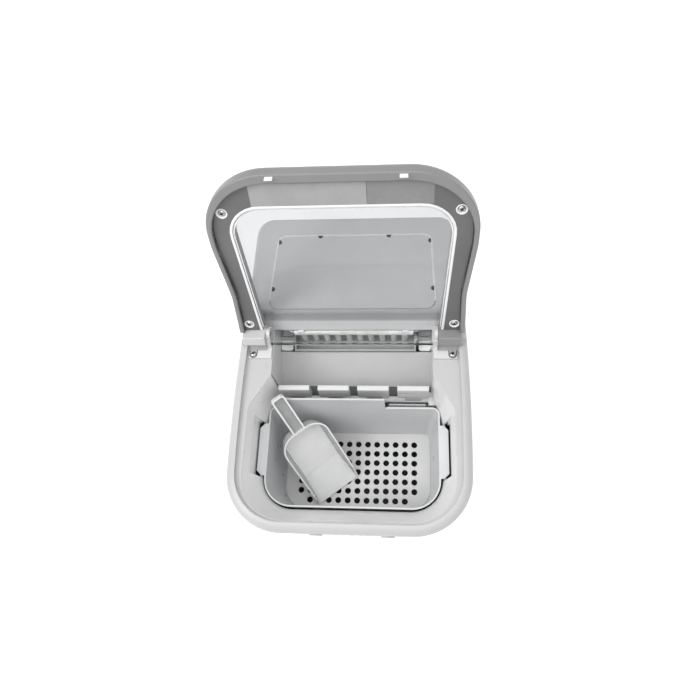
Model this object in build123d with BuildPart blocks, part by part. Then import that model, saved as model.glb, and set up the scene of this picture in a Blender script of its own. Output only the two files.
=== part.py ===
from build123d import *
from math import cos, hypot, radians, sin, tan

# Frame: origin at the middle of the footprint on the counter, front towards -Y, +Z up. Millimetres.

# Body outline in plan, at its fullest height
FRONT_Y = -170.6
REAR_Y = 170.6
FRONT_HALF = 118.2
MIDDLE_HALF = 120.6
REAR_HALF = 108.5
FRONT_CORNER_R = 58.0
REAR_CORNER_R = 20.0
FRONT_LEAN = 5.5
SIDE_LEAN = 2.5
WALL = 2.5

# Heights of the cabinet
FOOT_HEIGHT = 8.0
PAN_FLOOR = 2.5
DECK_Z = 294.0
SEAM_Z = DECK_Z - 32.0
SHOULDER_Z = DECK_Z - 4.0
RIM_Z = DECK_Z + 5.0
DECK_T = 2.5
RIM_BAND = 9.5
SHOULDER_R = 8.8
FRONT_SEAM_Y = -105.0
REAR_SEAM_Y = 146.0

# Pan, feet, air slots and cord gland
PAN_UPSTAND = 10.0
FOOT_R = 11.0
FOOT_CHAMFER = 1.5
FOOT_SIDE_INSET = 48.0
FOOT_FRONT_INSET = 52.0
FOOT_REAR_INSET = 34.0
VENT_LENGTH = 60.0
VENT_WIDTH = 5.0
VENT_PITCH = 11.0
VENT_COUNT = 8
SIDE_VENT_Y = 92.0
SIDE_VENT_Z = 96.0
GLAND_X = -44.0
GLAND_Z = 40.0
GLAND_R = 8.0
GLAND_BORE_R = 4.0
GLAND_LENGTH = 7.5
GLAND_FLANGE = 3.0
GLAND_FLANGE_T = 2.0

# Lid hinge and the angle at which the lid stands open
HINGE_Y = 28.0
HINGE_Z = DECK_Z + 14.0
LID_OPEN = 109.6
PIN_R = 2.5
PIN_INSET = 8.0
RUNNING_GAP = 0.05
SEAT_GAP = 0.3

# Lid, measured from the hinge axis: along the lid and across its thickness
LID_HALF = MIDDLE_HALF - 1.1
LID_WAIST_HALF = LID_HALF - 6.1
LID_REAR_HALF = LID_HALF - 4.1
LID_WAIST = 58.0
LID_SHOULDER = 118.0
LID_SIDE_R = 100.0
LID_LENGTH = 193.0
LID_CORNER_R = 60.0
LID_SIDE_RUN = 14.0
LID_EDGE_R = 11.0
ARM_END = 6.0
LID_TOP = -14.0
LID_SKIN = 2.4
LID_LIP = 5.0
LID_RIM = 5.0
LID_FRONT_BAND = 4.0
LID_RIM_FLAT = 1.6
FRAME_T = 2.4
WINDOW_T = 2.4
WINDOW_REAR_HALF = LID_HALF - 28.0
WINDOW_FRONT_HALF = LID_HALF - 20.0
WINDOW_FRONT = 157.0
WINDOW_CORNER_R = 30.0
WINDOW_FLANGE = 2.6
WINDOW_LAP = 4.0
WINDOW_WALL = 2.2
PANE_LIP_T = 1.6
PANE_LIP_DROP = 0.5
ROLL_END = 112.0
LUG_INNER = LID_HALF - 30.5
LUG_OUTER = LID_HALF - 7.5
LUG_HEEL = 5.0
LUG_BACK = 9.0
LUG_REACH = 12.0
LUG_ROUND = 1.0
LUG_WELL_GAP = 0.7
ROLL_HALF = LUG_INNER - 5.5
LID_SCREWS = [(LID_HALF - 16.5, 152.5), (LID_HALF - 15.0, 15.0)]
SCREW_R = 1.5
SCREW_HEAD_R = 3.2
SCREW_HEAD_T = 2.0
SCREW_DOME = 1.2
SCREW_POST_R = 4.0
DISH_GAP = 1.0
BUMPER_X = 54.6
BUMPER_LENGTH = 7.0
BUMPER_T = 1.5
BUMPER_R = 0.7

# Hinge brackets on the deck
CHEEK_T = 4.0
CHEEK_R = 6.5
CHEEK_BASE = 22.0
CHEEK_ANGLE = 80.0
BRACKET_T = 2.5
TAB_Y = 10.0
TAB_X = LUG_INNER + 15.0
TAB_WIDTH = 9.0

# Opening in the deck, and the funnel that leads down to the tub
MOUTH_HALF = MIDDLE_HALF - 15.6
MOUTH_FRONT = -159.0
MOUTH_CORNER_R = 44.0
BAY_HALF = MIDDLE_HALF - 26.0
BAY_FRONT = -141.6
BAY_CORNER_R = 34.0
FLARE_Y = -47.0
FLARE_R = 14.0
CHAMBER_HALF = MIDDLE_HALF - 36.6
CHAMBER_Y = -12.0
CHAMBER_REAR = 40.0
FUNNEL_BASE = DECK_Z - 52.0
POCKET_HEIGHT = 36.0

# Rear top cover and the panel let into it
COVER_HALF = MIDDLE_HALF - 11.1
COVER_INSET = 1.5
COVER_GAP = 2.2
COVER_BASE = 8.0
COVER_HEIGHT = 26.0
COVER_FRONT_TILT = 20.0
COVER_FALL = 4.0
COVER_T = 2.2
COVER_R = 5.0
PANEL_FRONT = 10.0
PANEL_LENGTH = 92.0
PANEL_HALF = COVER_HALF - 23.5
PANEL_ANGLE = 88.0
PANEL_CORNER_R = 9.0
PANEL_ROUND = 0.6
NOTCH_LENGTH = 5.0
NOTCH_DEPTH = 1.6
REAR_NOTCH_X = 37.5
SIDE_NOTCHES = [24.0, 84.0]
PANEL_T = 1.4
PANEL_GAP = 0.8

# Tub
TUB_GROWTH = 1.0
TUB_REAR = 68.0
TUB_FLOOR = 95.0
TUB_WALL = 2.5
RAIL_X = 70.0
RAIL_T = 3.0
RAIL_LENGTH = 60.0
PIPE_NOTCH_DROP = 26.0
PIPE_NOTCH_Z = DECK_Z - PIPE_NOTCH_DROP

# Ice basket
BASKET_FLOOR_DROP = 131.0
BASKET_RIM_DROP = 46.0
BASKET_BACK_DROP = 22.0
BASKET_FLOOR = DECK_Z - BASKET_FLOOR_DROP
BASKET_RIM = DECK_Z - BASKET_RIM_DROP
BASKET_BACK = DECK_Z - BASKET_BACK_DROP
BASKET_T = 1.8
BASKET_RIM_HALF = BAY_HALF - 2.2
BASKET_FLOOR_HALF = BASKET_RIM_HALF - 5.9
BASKET_FLOOR_FRONT = -133.0
BASKET_RIM_FRONT = -140.0
BASKET_FLOOR_REAR = -38.0
BASKET_RIM_REAR = -32.0
BASKET_FRONT_R = 30.0
BASKET_REAR_R = 8.0
BACK_STEP_X = 34.0
BACK_END_INSET = 8.0
BACK_END_X = BASKET_RIM_HALF - BACK_END_INSET
SLOT_TURNS = [30.0, 60.0]
SLOT_WIDTH = 4.0
SLOT_HEIGHT = 11.0
SLOT_RISE = 9.0
BACK_DEPTH = 4.0
HOLE_PITCH = 11.03
HOLE_R = 3.5
HOLE_COLUMNS = 13
HOLE_ROWS = 6
FIRST_HOLE_Y = -53.5
LEDGE_HALF = BAY_HALF + 6.4
LEDGE_FRONT = -108.0
LEDGE_REAR = -52.0
LEDGE_T = 5.0
LEDGE_CHAMFER = 5.0
POCKET_GAP = 2.0

# Scoop: tip of the blade, heading in plan and tilt of the handle
TIP = (-22.0, -107.0, BASKET_FLOOR + 1.6)
SCOOP_HEADING = 37.7
SCOOP_TILT = 50.9
SCOOP_LENGTH = 150.0
BOWL_LENGTH = 101.0
BOWL_HALF = 28.5
BOWL_DEPTH = 12.0
BOWL_R = 20.0
BOWL_DRAFT = 14.0
BOWL_HEEL_R = 8.0
BLADE_RUN = 34.0
RIM_RUN = 16.0
SCOOP_T = 1.8
HANDLE_WIDTH = 15.0
HANDLE_R = 3.5
HANDLE_T = 5.0

# Ice-making works
TRAY_HALF = CHAMBER_HALF - 17.0
TRAY_Z = DECK_Z - 32.0
TRAY_R = 14.0
TRAY_T = 1.8
HEADER_HALF = TRAY_HALF - 3.0
HEADER_Z = DECK_Z - 10.0
HEADER_R = 4.5
HEADER_END = 9.1
FINGER_COUNT = 10
FINGER_PITCH = 2 * (HEADER_HALF - HEADER_END) / (FINGER_COUNT - 1)
FINGER_R = 3.2
FINGER_Y = 42.0
FINGER_TIP = TRAY_Z - 8.0
CLIP_END = 8.0
CLIP_X = HEADER_HALF - CLIP_END
CLIP_SHIFT = 3.0
CLIP_WIDTH = 6.0
CLIP_DEPTH = 13.5
TRAY_PIN_R = 3.0
TRAY_PIN_REACH = 3.0
TRAY_HUB_WALL = 4.0
BUSH_WALL = 3.0
BUSH_FLANGE = 2.0
SHOVEL_Y = -17.0
SHOVEL_Z = FUNNEL_BASE - 14.0
SHOVEL_R = 3.5
BEARING_IN = CHAMBER_HALF - 3.0
PADDLE_TOP = SHOVEL_Z + 40.0
PADDLE_T = 6.0
PADDLE_END = 0.4
PADDLE_GAP = 9.2
PADDLE_COUNT = 4
PADDLE_WIDTH = (2 * (BEARING_IN - PADDLE_END) + PADDLE_GAP) / PADDLE_COUNT - PADDLE_GAP
PADDLE_ROUND = 1.5
NECK_HEIGHT = 16.0
NECK_WIDTH = 16.7
NECK_T = 5.0
SHOVEL_LIE = 52.0
BEARING_DEPTH = 15.0
BEARING_HEIGHT = 22.0
SHAFT_HOLE_GAP = 1.0
SLIDE_DROP = 7.0
SLIDE_T = 2.0
SLIDE_LENGTH = 53.0
SLIDE_NOTCH = 8.0
SLIDE_SIDE = 1.0
GEARBOX_OUT = MIDDLE_HALF - 14.6
GEARBOX_Y = 24.5
GEARBOX_Z = (SHOVEL_Z + TRAY_Z) / 2 + 6.0
GEARBOX_LENGTH = 62.0
GEARBOX_HEIGHT = 58.0
GEARBOX_R = 8.0
LOBE_LENGTH = 40.0
LOBE_HEIGHT = 24.0
LOBE_SHIFT = 8.0
SHAFT_END = 2.0
SOCKET_END = 1.5

# Cooling works behind the tub
COMPRESSOR_X = -42.0
COMPRESSOR_Y = 114.0
COMPRESSOR_R = 40.0
COMPRESSOR_BASE = 22.0
COMPRESSOR_TOP = 140.0
COMPRESSOR_DOME = 20.0
WELD_PROUD = 1.0
WELD_WIDTH = 4.0
BASE_REACH = 2.0
BASE_R = 8.0
BASE_T = 3.0
MOUNT_R = 7.0
CONDENSER_X = 39.0
CONDENSER_WIDTH = 64.0
CONDENSER_Y = 150.0
CONDENSER_DEPTH = 20.0
CONDENSER_Z = 92.0
CONDENSER_HEIGHT = 104.0
FIN_COUNT = 14
FIN_T = 1.4
TUBE_COUNT = 4
TUBE_R = 3.5
SHROUD_T = 3.0
SHROUD_EDGE = 6.0
SHROUD_GAP = 1.5
FAN_R = 31.0
FAN_BACK = 5.0
BLADE_COUNT = 5
BLADE_WIDTH = 15.0
BLADE_T = 1.4
BLADE_PITCH = 30.0
BLADE_ROOT = 1.0
HUB_R = 8.0
HUB_T = 10.0
MOTOR_R = 15.0
MOTOR_LENGTH = 22.0
MOTOR_BACK = 22.0
SHAFT_R = 2.0
SHAFT_BACK = 6.0
BRACKET_BACK = 24.0
BRACKET_BAR_T = 5.0
BRACKET_HEIGHT = 14.0
LEG_T = 4.0
LEG_GAP = 2.0
DRIER_X = 50.0
DRIER_Y = 92.0
DRIER_Z = 172.0
DRIER_R = 8.0
DRIER_LENGTH = 54.0
PIPE_R = 3.0
CAPILLARY_R = 1.5
PIPE_BEND = 9.0
LIQUID_BEND = 5.0
HEADER_TAIL = 10.0
PORT_X = 16.0
PORT_DEPTH = 10.0
SUCTION_PORT_Y = -6.0
SUCTION_FALL = 40.0
DISCHARGE_PORT_Y = -2.0
DISCHARGE_RISE = 30.0
DISCHARGE_OUT = 12.0
LIQUID_OUT = 6.0
DRIER_DROP = 18.0
CAPILLARY_STEP = 10.0

# Front controls
FASCIA_DROP = 72.0
FASCIA_Z = DECK_Z - FASCIA_DROP
FASCIA_WIDTH = 104.0
FASCIA_HEIGHT = 34.0
FASCIA_CORNER_R = 8.0
FLANGE_EDGE = 4.0
FLANGE_T = 1.5
POST_R = 2.5
POST_SIDE_INSET = 6.0
POST_TOP_INSET = 5.0
BOARD_DEPTH = 9.0
BOARD_T = 1.6
BOARD_SIDE_INSET = 2.0
BOARD_TOP_INSET = 1.0
BUTTON_R = 7.0
BUTTON_X = 38.0
BUTTON_PROUD = 1.5
KEEPER_EDGE = 1.5
KEEPER_T = 1.5
DIMPLE_EDGE = 2.0
DIMPLE_T = 0.5
LENS_R = 2.5
LENS_COUNT = 5
LENS_PITCH = 9.0

# Drain and pump
PUMP_X = -48.0
PUMP_Y = -60.0
PUMP_R = 20.0
PUMP_TOP = 60.0
PUMP_ROUND = 5.0
PUMP_INLET_R = 7.0
PUMP_OUT_Z = 40.0
PUMP_OUT_REACH = 6.0
HOSE_R = 3.0
HOSE_BEND = 5.0
HOSE_STANDOFF = 6.0
HOSE_RISE = 15.4
HOSE_LAP = 4.0
DRAIN_Y = 22.0
DRAIN_Z = 62.0
DRAIN_R = 8.0
DRAIN_X = 60.0
DRAIN_BORE = 5.0
DRAIN_INSET = 5.0
PLUG_HEAD_T = 4.0
PLUG_STEM = 12.0


def body_outline(height, inset):
    """Plan outline of the body at a height, drawn in from the outer face by inset."""
    drop = max(SHOULDER_Z - height, 0)
    front = FRONT_Y + inset + drop * tan(radians(FRONT_LEAN))
    side = inset + drop * tan(radians(SIDE_LEAN))
    rear = REAR_Y - inset
    with BuildSketch(Plane.XY.offset(height)) as outline:
        with BuildLine():
            Line((side - FRONT_HALF, front), (FRONT_HALF - side, front))
            ThreePointArc((FRONT_HALF - side, front), (MIDDLE_HALF - side, 0), (REAR_HALF - side, rear))
            Line((REAR_HALF - side, rear), (side - REAR_HALF, rear))
            ThreePointArc((side - REAR_HALF, rear), (side - MIDDLE_HALF, 0), (side - FRONT_HALF, front))
        make_face()
        fillet(outline.vertices().group_by(Axis.Y)[0], FRONT_CORNER_R - inset)
        fillet(outline.vertices().group_by(Axis.Y)[-1], REAR_CORNER_R - inset)
    return outline.sketch


def mouth_outline(height, growth):
    """Plan outline of the deck opening and funnel at a height, drawn out by growth."""
    share = (height - FUNNEL_BASE) / (DECK_Z - DECK_T - FUNNEL_BASE)
    half = BAY_HALF + share * (MOUTH_HALF - BAY_HALF) + growth
    front = BAY_FRONT + share * (MOUTH_FRONT - BAY_FRONT) - growth
    neck = CHAMBER_HALF + growth
    corner_r = BAY_CORNER_R + share * (MOUTH_CORNER_R - BAY_CORNER_R) + growth
    with BuildSketch(Plane.XY.offset(height)) as outline:
        with BuildLine():
            Polyline(
                (-half, front),
                (half, front),
                (half, FLARE_Y),
                (neck, CHAMBER_Y),
                (neck, CHAMBER_REAR + growth),
                (-neck, CHAMBER_REAR + growth),
                (-neck, CHAMBER_Y),
                (-half, FLARE_Y),
                close=True,
            )
        make_face()
        fillet(outline.vertices().group_by(Axis.Y)[1], FLARE_R)
        fillet(outline.vertices().group_by(Axis.Y)[0], corner_r)
    return outline.sketch


def tub_outline(height, growth):
    """Plan outline of the tub's cavity at a height, drawn out by growth."""
    half = BAY_HALF + TUB_GROWTH + growth
    neck = CHAMBER_HALF + growth
    with BuildSketch(Plane.XY.offset(height)) as outline:
        with BuildLine():
            Polyline(
                (-half, BAY_FRONT - growth),
                (half, BAY_FRONT - growth),
                (half, CHAMBER_Y + growth),
                (neck, CHAMBER_Y + growth),
                (neck, TUB_REAR + growth),
                (-neck, TUB_REAR + growth),
                (-neck, CHAMBER_Y + growth),
                (-half, CHAMBER_Y + growth),
                close=True,
            )
        make_face()
        fillet(outline.vertices().group_by(Axis.Y)[0], BAY_CORNER_R + growth)
    return outline.sketch


def basket_outline(height, inset):
    """Plan outline of the basket's outer face at a height, drawn in by inset."""
    share = (height - BASKET_FLOOR) / (BASKET_RIM - BASKET_FLOOR)
    half = BASKET_FLOOR_HALF + share * (BASKET_RIM_HALF - BASKET_FLOOR_HALF) - inset
    front = BASKET_FLOOR_FRONT + share * (BASKET_RIM_FRONT - BASKET_FLOOR_FRONT) + inset
    rear = BASKET_FLOOR_REAR + share * (BASKET_RIM_REAR - BASKET_FLOOR_REAR) - inset
    with BuildSketch(Plane.XY.offset(height)) as outline:
        with BuildLine():
            Polyline((-half, front), (half, front), (half, rear), (-half, rear), close=True)
        make_face()
        fillet(outline.vertices().group_by(Axis.Y)[0], BASKET_FRONT_R - inset)
        fillet(outline.vertices().group_by(Axis.Y)[-1], BASKET_REAR_R - inset)
    return outline.sketch


# Lid planes: x across, y from the hinge to the front edge, z out of the lid's underside
lid_along = Vector(0, -cos(radians(LID_OPEN)), sin(radians(LID_OPEN)))
lid_across = Vector(0, -sin(radians(LID_OPEN)), -cos(radians(LID_OPEN)))
hinge_point = Vector(0, HINGE_Y, HINGE_Z)
lid_plane = Plane(origin=hinge_point, x_dir=(1, 0, 0), z_dir=lid_across)


def lid_side_plane(x):
    """Section plane across the lid at x: along the lid, then across its thickness."""
    return Plane(origin=hinge_point + Vector(x, 0, 0), x_dir=lid_along, z_dir=(1, 0, 0))


def lid_outline(level, inset, rear, band):
    """Outline of the lid at a level of its thickness, drawn in by inset and at the front by band as well."""
    front = LID_LENGTH - inset - band
    with BuildSketch(lid_plane.offset(level)) as outline:
        with BuildLine():
            Polyline(
                (LID_REAR_HALF - inset, rear),
                (LID_WAIST_HALF - inset, LID_WAIST),
                (LID_HALF - inset, LID_SHOULDER),
                (LID_HALF - inset, front),
                (inset - LID_HALF, front),
                (inset - LID_HALF, LID_SHOULDER),
                (inset - LID_WAIST_HALF, LID_WAIST),
                (inset - LID_REAR_HALF, rear),
                close=True,
            )
        make_face()
        corner_r = min(LID_CORNER_R, LID_LENGTH - LID_SHOULDER - LID_SIDE_RUN)
        fillet(outline.vertices().group_by(Axis.Y)[-1], corner_r - inset)
        bends = [v for v in outline.vertices() if LID_WAIST - 1 < v.Y < LID_SHOULDER + 1]
        fillet(bends, LID_SIDE_R)
    return outline.sketch


def window_outline(level, growth, rear):
    """Outline of the lid's window opening at a level, drawn out by growth, from rear to its front."""
    with BuildSketch(lid_plane.offset(level)) as outline:
        with BuildLine():
            Polyline(
                (WINDOW_REAR_HALF + growth, rear),
                (WINDOW_FRONT_HALF + growth, WINDOW_FRONT + growth),
                (-WINDOW_FRONT_HALF - growth, WINDOW_FRONT + growth),
                (-WINDOW_REAR_HALF - growth, rear),
                close=True,
            )
        make_face()
        fillet(outline.vertices().group_by(Axis.Y)[-1], WINDOW_CORNER_R + growth)
    return outline.sketch


# Base pan: floor under the walls and an upstand inside them
pan_top = FOOT_HEIGHT + PAN_FLOOR
with BuildPart() as base_pan:
    extrude(body_outline(FOOT_HEIGHT, 0), amount=PAN_FLOOR)
    extrude(body_outline(pan_top, WALL + SEAT_GAP), amount=PAN_UPSTAND)
    extrude(body_outline(pan_top, 2 * WALL + SEAT_GAP), amount=PAN_UPSTAND, mode=Mode.SUBTRACT)
base_pan.part.label = "base_pan"
export_step(base_pan.part, "parts/base_pan.step")

# Feet: four rubber pads under the pan
foot_x = FRONT_HALF - FOOT_SIDE_INSET
foot_front = FRONT_Y + FOOT_FRONT_INSET
foot_rear = REAR_Y - FOOT_REAR_INSET
with BuildPart() as feet:
    with BuildSketch() as foot_pads:
        with Locations((-foot_x, foot_front), (foot_x, foot_front), (-foot_x, foot_rear), (foot_x, foot_rear)):
            Circle(FOOT_R)
    extrude(amount=FOOT_HEIGHT)
    chamfer(feet.edges().group_by(Axis.Z)[0], FOOT_CHAMFER)
feet.part.label = "feet"
export_step(feet.part, "parts/feet.step")

# Cabinet wall as one leaning tube, later parted into its panels
with BuildPart() as cabinet:
    loft(sections=[body_outline(pan_top, 0), body_outline(SEAM_Z, 0)], ruled=True)
    loft(sections=[body_outline(pan_top, WALL), body_outline(SEAM_Z, WALL)], ruled=True, mode=Mode.SUBTRACT)

# Front face: outward normal leans down with the wall
fascia_y = FRONT_Y + (SHOULDER_Z - FASCIA_Z) * tan(radians(FRONT_LEAN))
front_normal = Vector(0, -cos(radians(FRONT_LEAN)), -sin(radians(FRONT_LEAN)))
front_plane = Plane(origin=(0, fascia_y, FASCIA_Z), x_dir=(1, 0, 0), z_dir=front_normal)

# Front shell: the front wall and both front corners, with the cut-out for the control fascia
with BuildPart() as front_shell:
    add(cabinet.part)
    split(bisect_by=Plane.XZ.offset(-FRONT_SEAM_Y), keep=Keep.TOP)
    with BuildSketch(front_plane) as fascia_hole:
        RectangleRounded(FASCIA_WIDTH, FASCIA_HEIGHT, FASCIA_CORNER_R)
    extrude(amount=-2 * WALL, mode=Mode.SUBTRACT)
front_shell.part.label = "front_shell"
export_step(front_shell.part, "parts/front_shell.step")

# Side panels: between the front shell and the rear panel, with air slots low at the back
widest_half = max(FRONT_HALF, MIDDLE_HALF, REAR_HALF)
for side, name in ((-1, "left_side_panel"), (1, "right_side_panel")):
    with BuildPart() as side_panel:
        add(cabinet.part)
        split(bisect_by=Plane.XZ.offset(-FRONT_SEAM_Y), keep=Keep.BOTTOM)
        split(bisect_by=Plane.XZ.offset(-REAR_SEAM_Y), keep=Keep.TOP)
        split(bisect_by=Plane.YZ, keep=Keep.TOP if side > 0 else Keep.BOTTOM)
        with BuildSketch(Plane.YZ.offset(side * widest_half)) as vents:
            with Locations((SIDE_VENT_Y, SIDE_VENT_Z)):
                with GridLocations(1, VENT_PITCH, 1, VENT_COUNT):
                    SlotOverall(VENT_LENGTH, VENT_WIDTH)
        extrude(amount=-side * widest_half / 2, mode=Mode.SUBTRACT)
        if side > 0:
            with BuildSketch(Plane.YZ) as drain_hole:
                with Locations((DRAIN_Y, DRAIN_Z)):
                    Circle(DRAIN_R)
            extrude(amount=widest_half + WALL, mode=Mode.SUBTRACT)
    side_panel.part.label = name
    export_step(side_panel.part, f"parts/{name}.step")

# Rear panel: air slots behind the condenser and a hole for the cord gland
with BuildPart() as rear_panel:
    add(cabinet.part)
    split(bisect_by=Plane.XZ.offset(-REAR_SEAM_Y), keep=Keep.BOTTOM)
    with BuildSketch(Plane.XZ.offset(-REAR_Y)) as rear_vents:
        with Locations((CONDENSER_X, CONDENSER_Z)):
            with GridLocations(1, VENT_PITCH, 1, VENT_COUNT):
                SlotOverall(VENT_LENGTH, VENT_WIDTH)
        with Locations((GLAND_X, GLAND_Z)):
            Circle(GLAND_R)
    extrude(amount=2 * WALL, mode=Mode.SUBTRACT)
rear_panel.part.label = "rear_panel"
export_step(rear_panel.part, "parts/rear_panel.step")

# Cord gland: flanged bush in the rear panel
with BuildPart() as cord_gland:
    with BuildSketch(Plane.XZ.offset(-REAR_Y)) as gland_face:
        with Locations((GLAND_X, GLAND_Z)):
            Circle(GLAND_R)
    extrude(amount=GLAND_LENGTH)
    with BuildSketch(Plane.XZ.offset(WALL - REAR_Y)) as gland_flange:
        with Locations((GLAND_X, GLAND_Z)):
            Circle(GLAND_R + GLAND_FLANGE)
    extrude(amount=GLAND_FLANGE_T)
    with BuildSketch(Plane.XZ.offset(-REAR_Y)) as gland_bore:
        with Locations((GLAND_X, GLAND_Z)):
            Circle(GLAND_BORE_R)
    extrude(amount=GLAND_LENGTH, mode=Mode.SUBTRACT)
cord_gland.part.label = "cord_gland"
export_step(cord_gland.part, "parts/cord_gland.step")

# Funnel: sloping wall from the deck down to the tub, open towards the ice chamber
mouth_top = DECK_Z - DECK_T
with BuildPart() as funnel:
    loft(sections=[mouth_outline(FUNNEL_BASE, WALL), mouth_outline(mouth_top, WALL)], ruled=True)
    loft(sections=[mouth_outline(FUNNEL_BASE, 0), mouth_outline(mouth_top, 0)], ruled=True, mode=Mode.SUBTRACT)
    split(bisect_by=Plane.XZ.offset(-CHAMBER_Y), keep=Keep.TOP)

# Top casing: rounded rim band, deck with the mouth, funnel, and pockets for the basket's handles
cover_front_y = CHAMBER_REAR + COVER_GAP
shelf_y = cover_front_y - COVER_BASE * tan(radians(COVER_FRONT_TILT)) - SEAT_GAP
pocket_half = LEDGE_HALF + POCKET_GAP
pocket_length = LEDGE_REAR - LEDGE_FRONT + 2 * POCKET_GAP
pocket_y = (LEDGE_FRONT + LEDGE_REAR) / 2
well_r = hypot(LUG_HEEL, LUG_REACH) + LUG_WELL_GAP
with BuildPart() as top_casing:
    loft(sections=[body_outline(SEAM_Z, 0), body_outline(SHOULDER_Z, 0)], ruled=True)
    extrude(body_outline(SHOULDER_Z, 0), amount=RIM_Z - SHOULDER_Z)
    fillet(top_casing.faces().sort_by(Axis.Z)[-1].edges(), SHOULDER_R)
    loft(sections=[body_outline(SEAM_Z, WALL), body_outline(mouth_top, WALL)], ruled=True, mode=Mode.SUBTRACT)
    extrude(body_outline(DECK_Z, RIM_BAND), amount=RIM_Z, mode=Mode.SUBTRACT)
    with BuildSketch(Plane.XY.offset(DECK_Z)) as shelf:
        with Locations((0, shelf_y)):
            Rectangle(4 * FRONT_HALF, 2 * REAR_Y, align=(Align.CENTER, Align.MIN))
    extrude(amount=RIM_Z, mode=Mode.SUBTRACT)
    add(funnel.part)
    with BuildSketch(Plane.XY.offset(FUNNEL_BASE)) as pocket_walls:
        with Locations((-pocket_half - WALL, pocket_y), (pocket_half + WALL, pocket_y)):
            Rectangle(4 * WALL, pocket_length + 2 * WALL)
    extrude(amount=POCKET_HEIGHT)
    loft(sections=[mouth_outline(FUNNEL_BASE, 0), mouth_outline(mouth_top, 0)], ruled=True, mode=Mode.SUBTRACT)
    extrude(mouth_outline(mouth_top, 0), amount=RIM_Z, mode=Mode.SUBTRACT)
    with BuildSketch(Plane.XY.offset(FUNNEL_BASE)) as pockets:
        with Locations((0, pocket_y)):
            Rectangle(2 * pocket_half, pocket_length)
    extrude(amount=POCKET_HEIGHT - WALL, mode=Mode.SUBTRACT)
    with BuildSketch(Plane.YZ.offset(LUG_INNER - SEAT_GAP)) as right_well:
        with Locations((HINGE_Y, HINGE_Z)):
            Circle(well_r)
    extrude(amount=FRONT_HALF, mode=Mode.SUBTRACT)
    with BuildSketch(Plane.YZ.offset(SEAT_GAP - LUG_INNER)) as left_well:
        with Locations((HINGE_Y, HINGE_Z)):
            Circle(well_r)
    extrude(amount=-FRONT_HALF, mode=Mode.SUBTRACT)
top_casing.part.label = "top_casing"
export_step(top_casing.part, "parts/top_casing.step")

# Rear top cover: rises behind the lid, its front face clear of the open lid, its top falling to the rear
cover_front = Plane(
    origin=(0, cover_front_y, DECK_Z + COVER_BASE),
    x_dir=(1, 0, 0),
    z_dir=(0, -cos(radians(COVER_FRONT_TILT)), sin(radians(COVER_FRONT_TILT))),
)
cover_top = Plane(
    origin=(0, cover_front_y, DECK_Z + COVER_HEIGHT),
    x_dir=(1, 0, 0),
    z_dir=(0, sin(radians(COVER_FALL)), cos(radians(COVER_FALL))),
)


def cover_panel(plane, growth):
    """Outline of the panel let into the cover's top, drawn out by growth."""
    with BuildSketch(plane) as outline:
        with Locations((0, PANEL_FRONT + PANEL_LENGTH / 2)):
            Trapezoid(2 * (PANEL_HALF + growth), PANEL_LENGTH + 2 * growth, PANEL_ANGLE)
        fillet(outline.vertices(), PANEL_CORNER_R + growth)
    return outline.sketch


with BuildPart() as cover_hollow:
    extrude(body_outline(DECK_Z, COVER_INSET + COVER_T), amount=2 * COVER_HEIGHT)
    with BuildSketch(Plane.XY.offset(DECK_Z)) as hollow_sides:
        Rectangle(2 * (COVER_HALF - COVER_T), 4 * REAR_Y)
    extrude(amount=2 * COVER_HEIGHT, mode=Mode.INTERSECT)
    split(bisect_by=cover_front.offset(-COVER_T), keep=Keep.BOTTOM)
    split(bisect_by=cover_top.offset(-COVER_T - PANEL_T), keep=Keep.BOTTOM)

with BuildPart() as rear_top_cover:
    extrude(body_outline(DECK_Z, COVER_INSET), amount=2 * COVER_HEIGHT)
    with BuildSketch(Plane.XY.offset(DECK_Z)) as cover_sides:
        Rectangle(2 * COVER_HALF, 4 * REAR_Y)
    extrude(amount=2 * COVER_HEIGHT, mode=Mode.INTERSECT)
    split(bisect_by=cover_front, keep=Keep.BOTTOM)
    split(bisect_by=cover_top, keep=Keep.BOTTOM)
    fillet(rear_top_cover.faces().sort_by(Axis.Z)[-1].edges(), COVER_R)
    add(cover_hollow.part, mode=Mode.SUBTRACT)
    extrude(cover_panel(cover_top.offset(-PANEL_T), PANEL_GAP), amount=PANEL_T, mode=Mode.SUBTRACT)
rear_top_cover.part.label = "rear_top_cover"
export_step(rear_top_cover.part, "parts/rear_top_cover.step")

# Panel let into the cover's top, notched for its six clips
panel_rear = PANEL_FRONT + PANEL_LENGTH
with BuildPart() as rear_cover_panel:
    extrude(cover_panel(cover_top.offset(-PANEL_T), 0), amount=PANEL_T)
    fillet(rear_cover_panel.faces().sort_by(Axis.Z)[-1].edges(), PANEL_ROUND)
    with BuildSketch(cover_top.offset(-PANEL_T)) as notches:
        with Locations((-REAR_NOTCH_X, panel_rear), (REAR_NOTCH_X, panel_rear)):
            Rectangle(NOTCH_LENGTH, 2 * NOTCH_DEPTH)
        for along in SIDE_NOTCHES:
            edge = PANEL_HALF - along / tan(radians(PANEL_ANGLE))
            with Locations((-edge, PANEL_FRONT + along), (edge, PANEL_FRONT + along)):
                Rectangle(2 * NOTCH_DEPTH, NOTCH_LENGTH)
    extrude(amount=PANEL_T, mode=Mode.SUBTRACT)
rear_cover_panel.part.label = "rear_cover_panel"
export_step(rear_cover_panel.part, "parts/rear_cover_panel.step")

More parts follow.
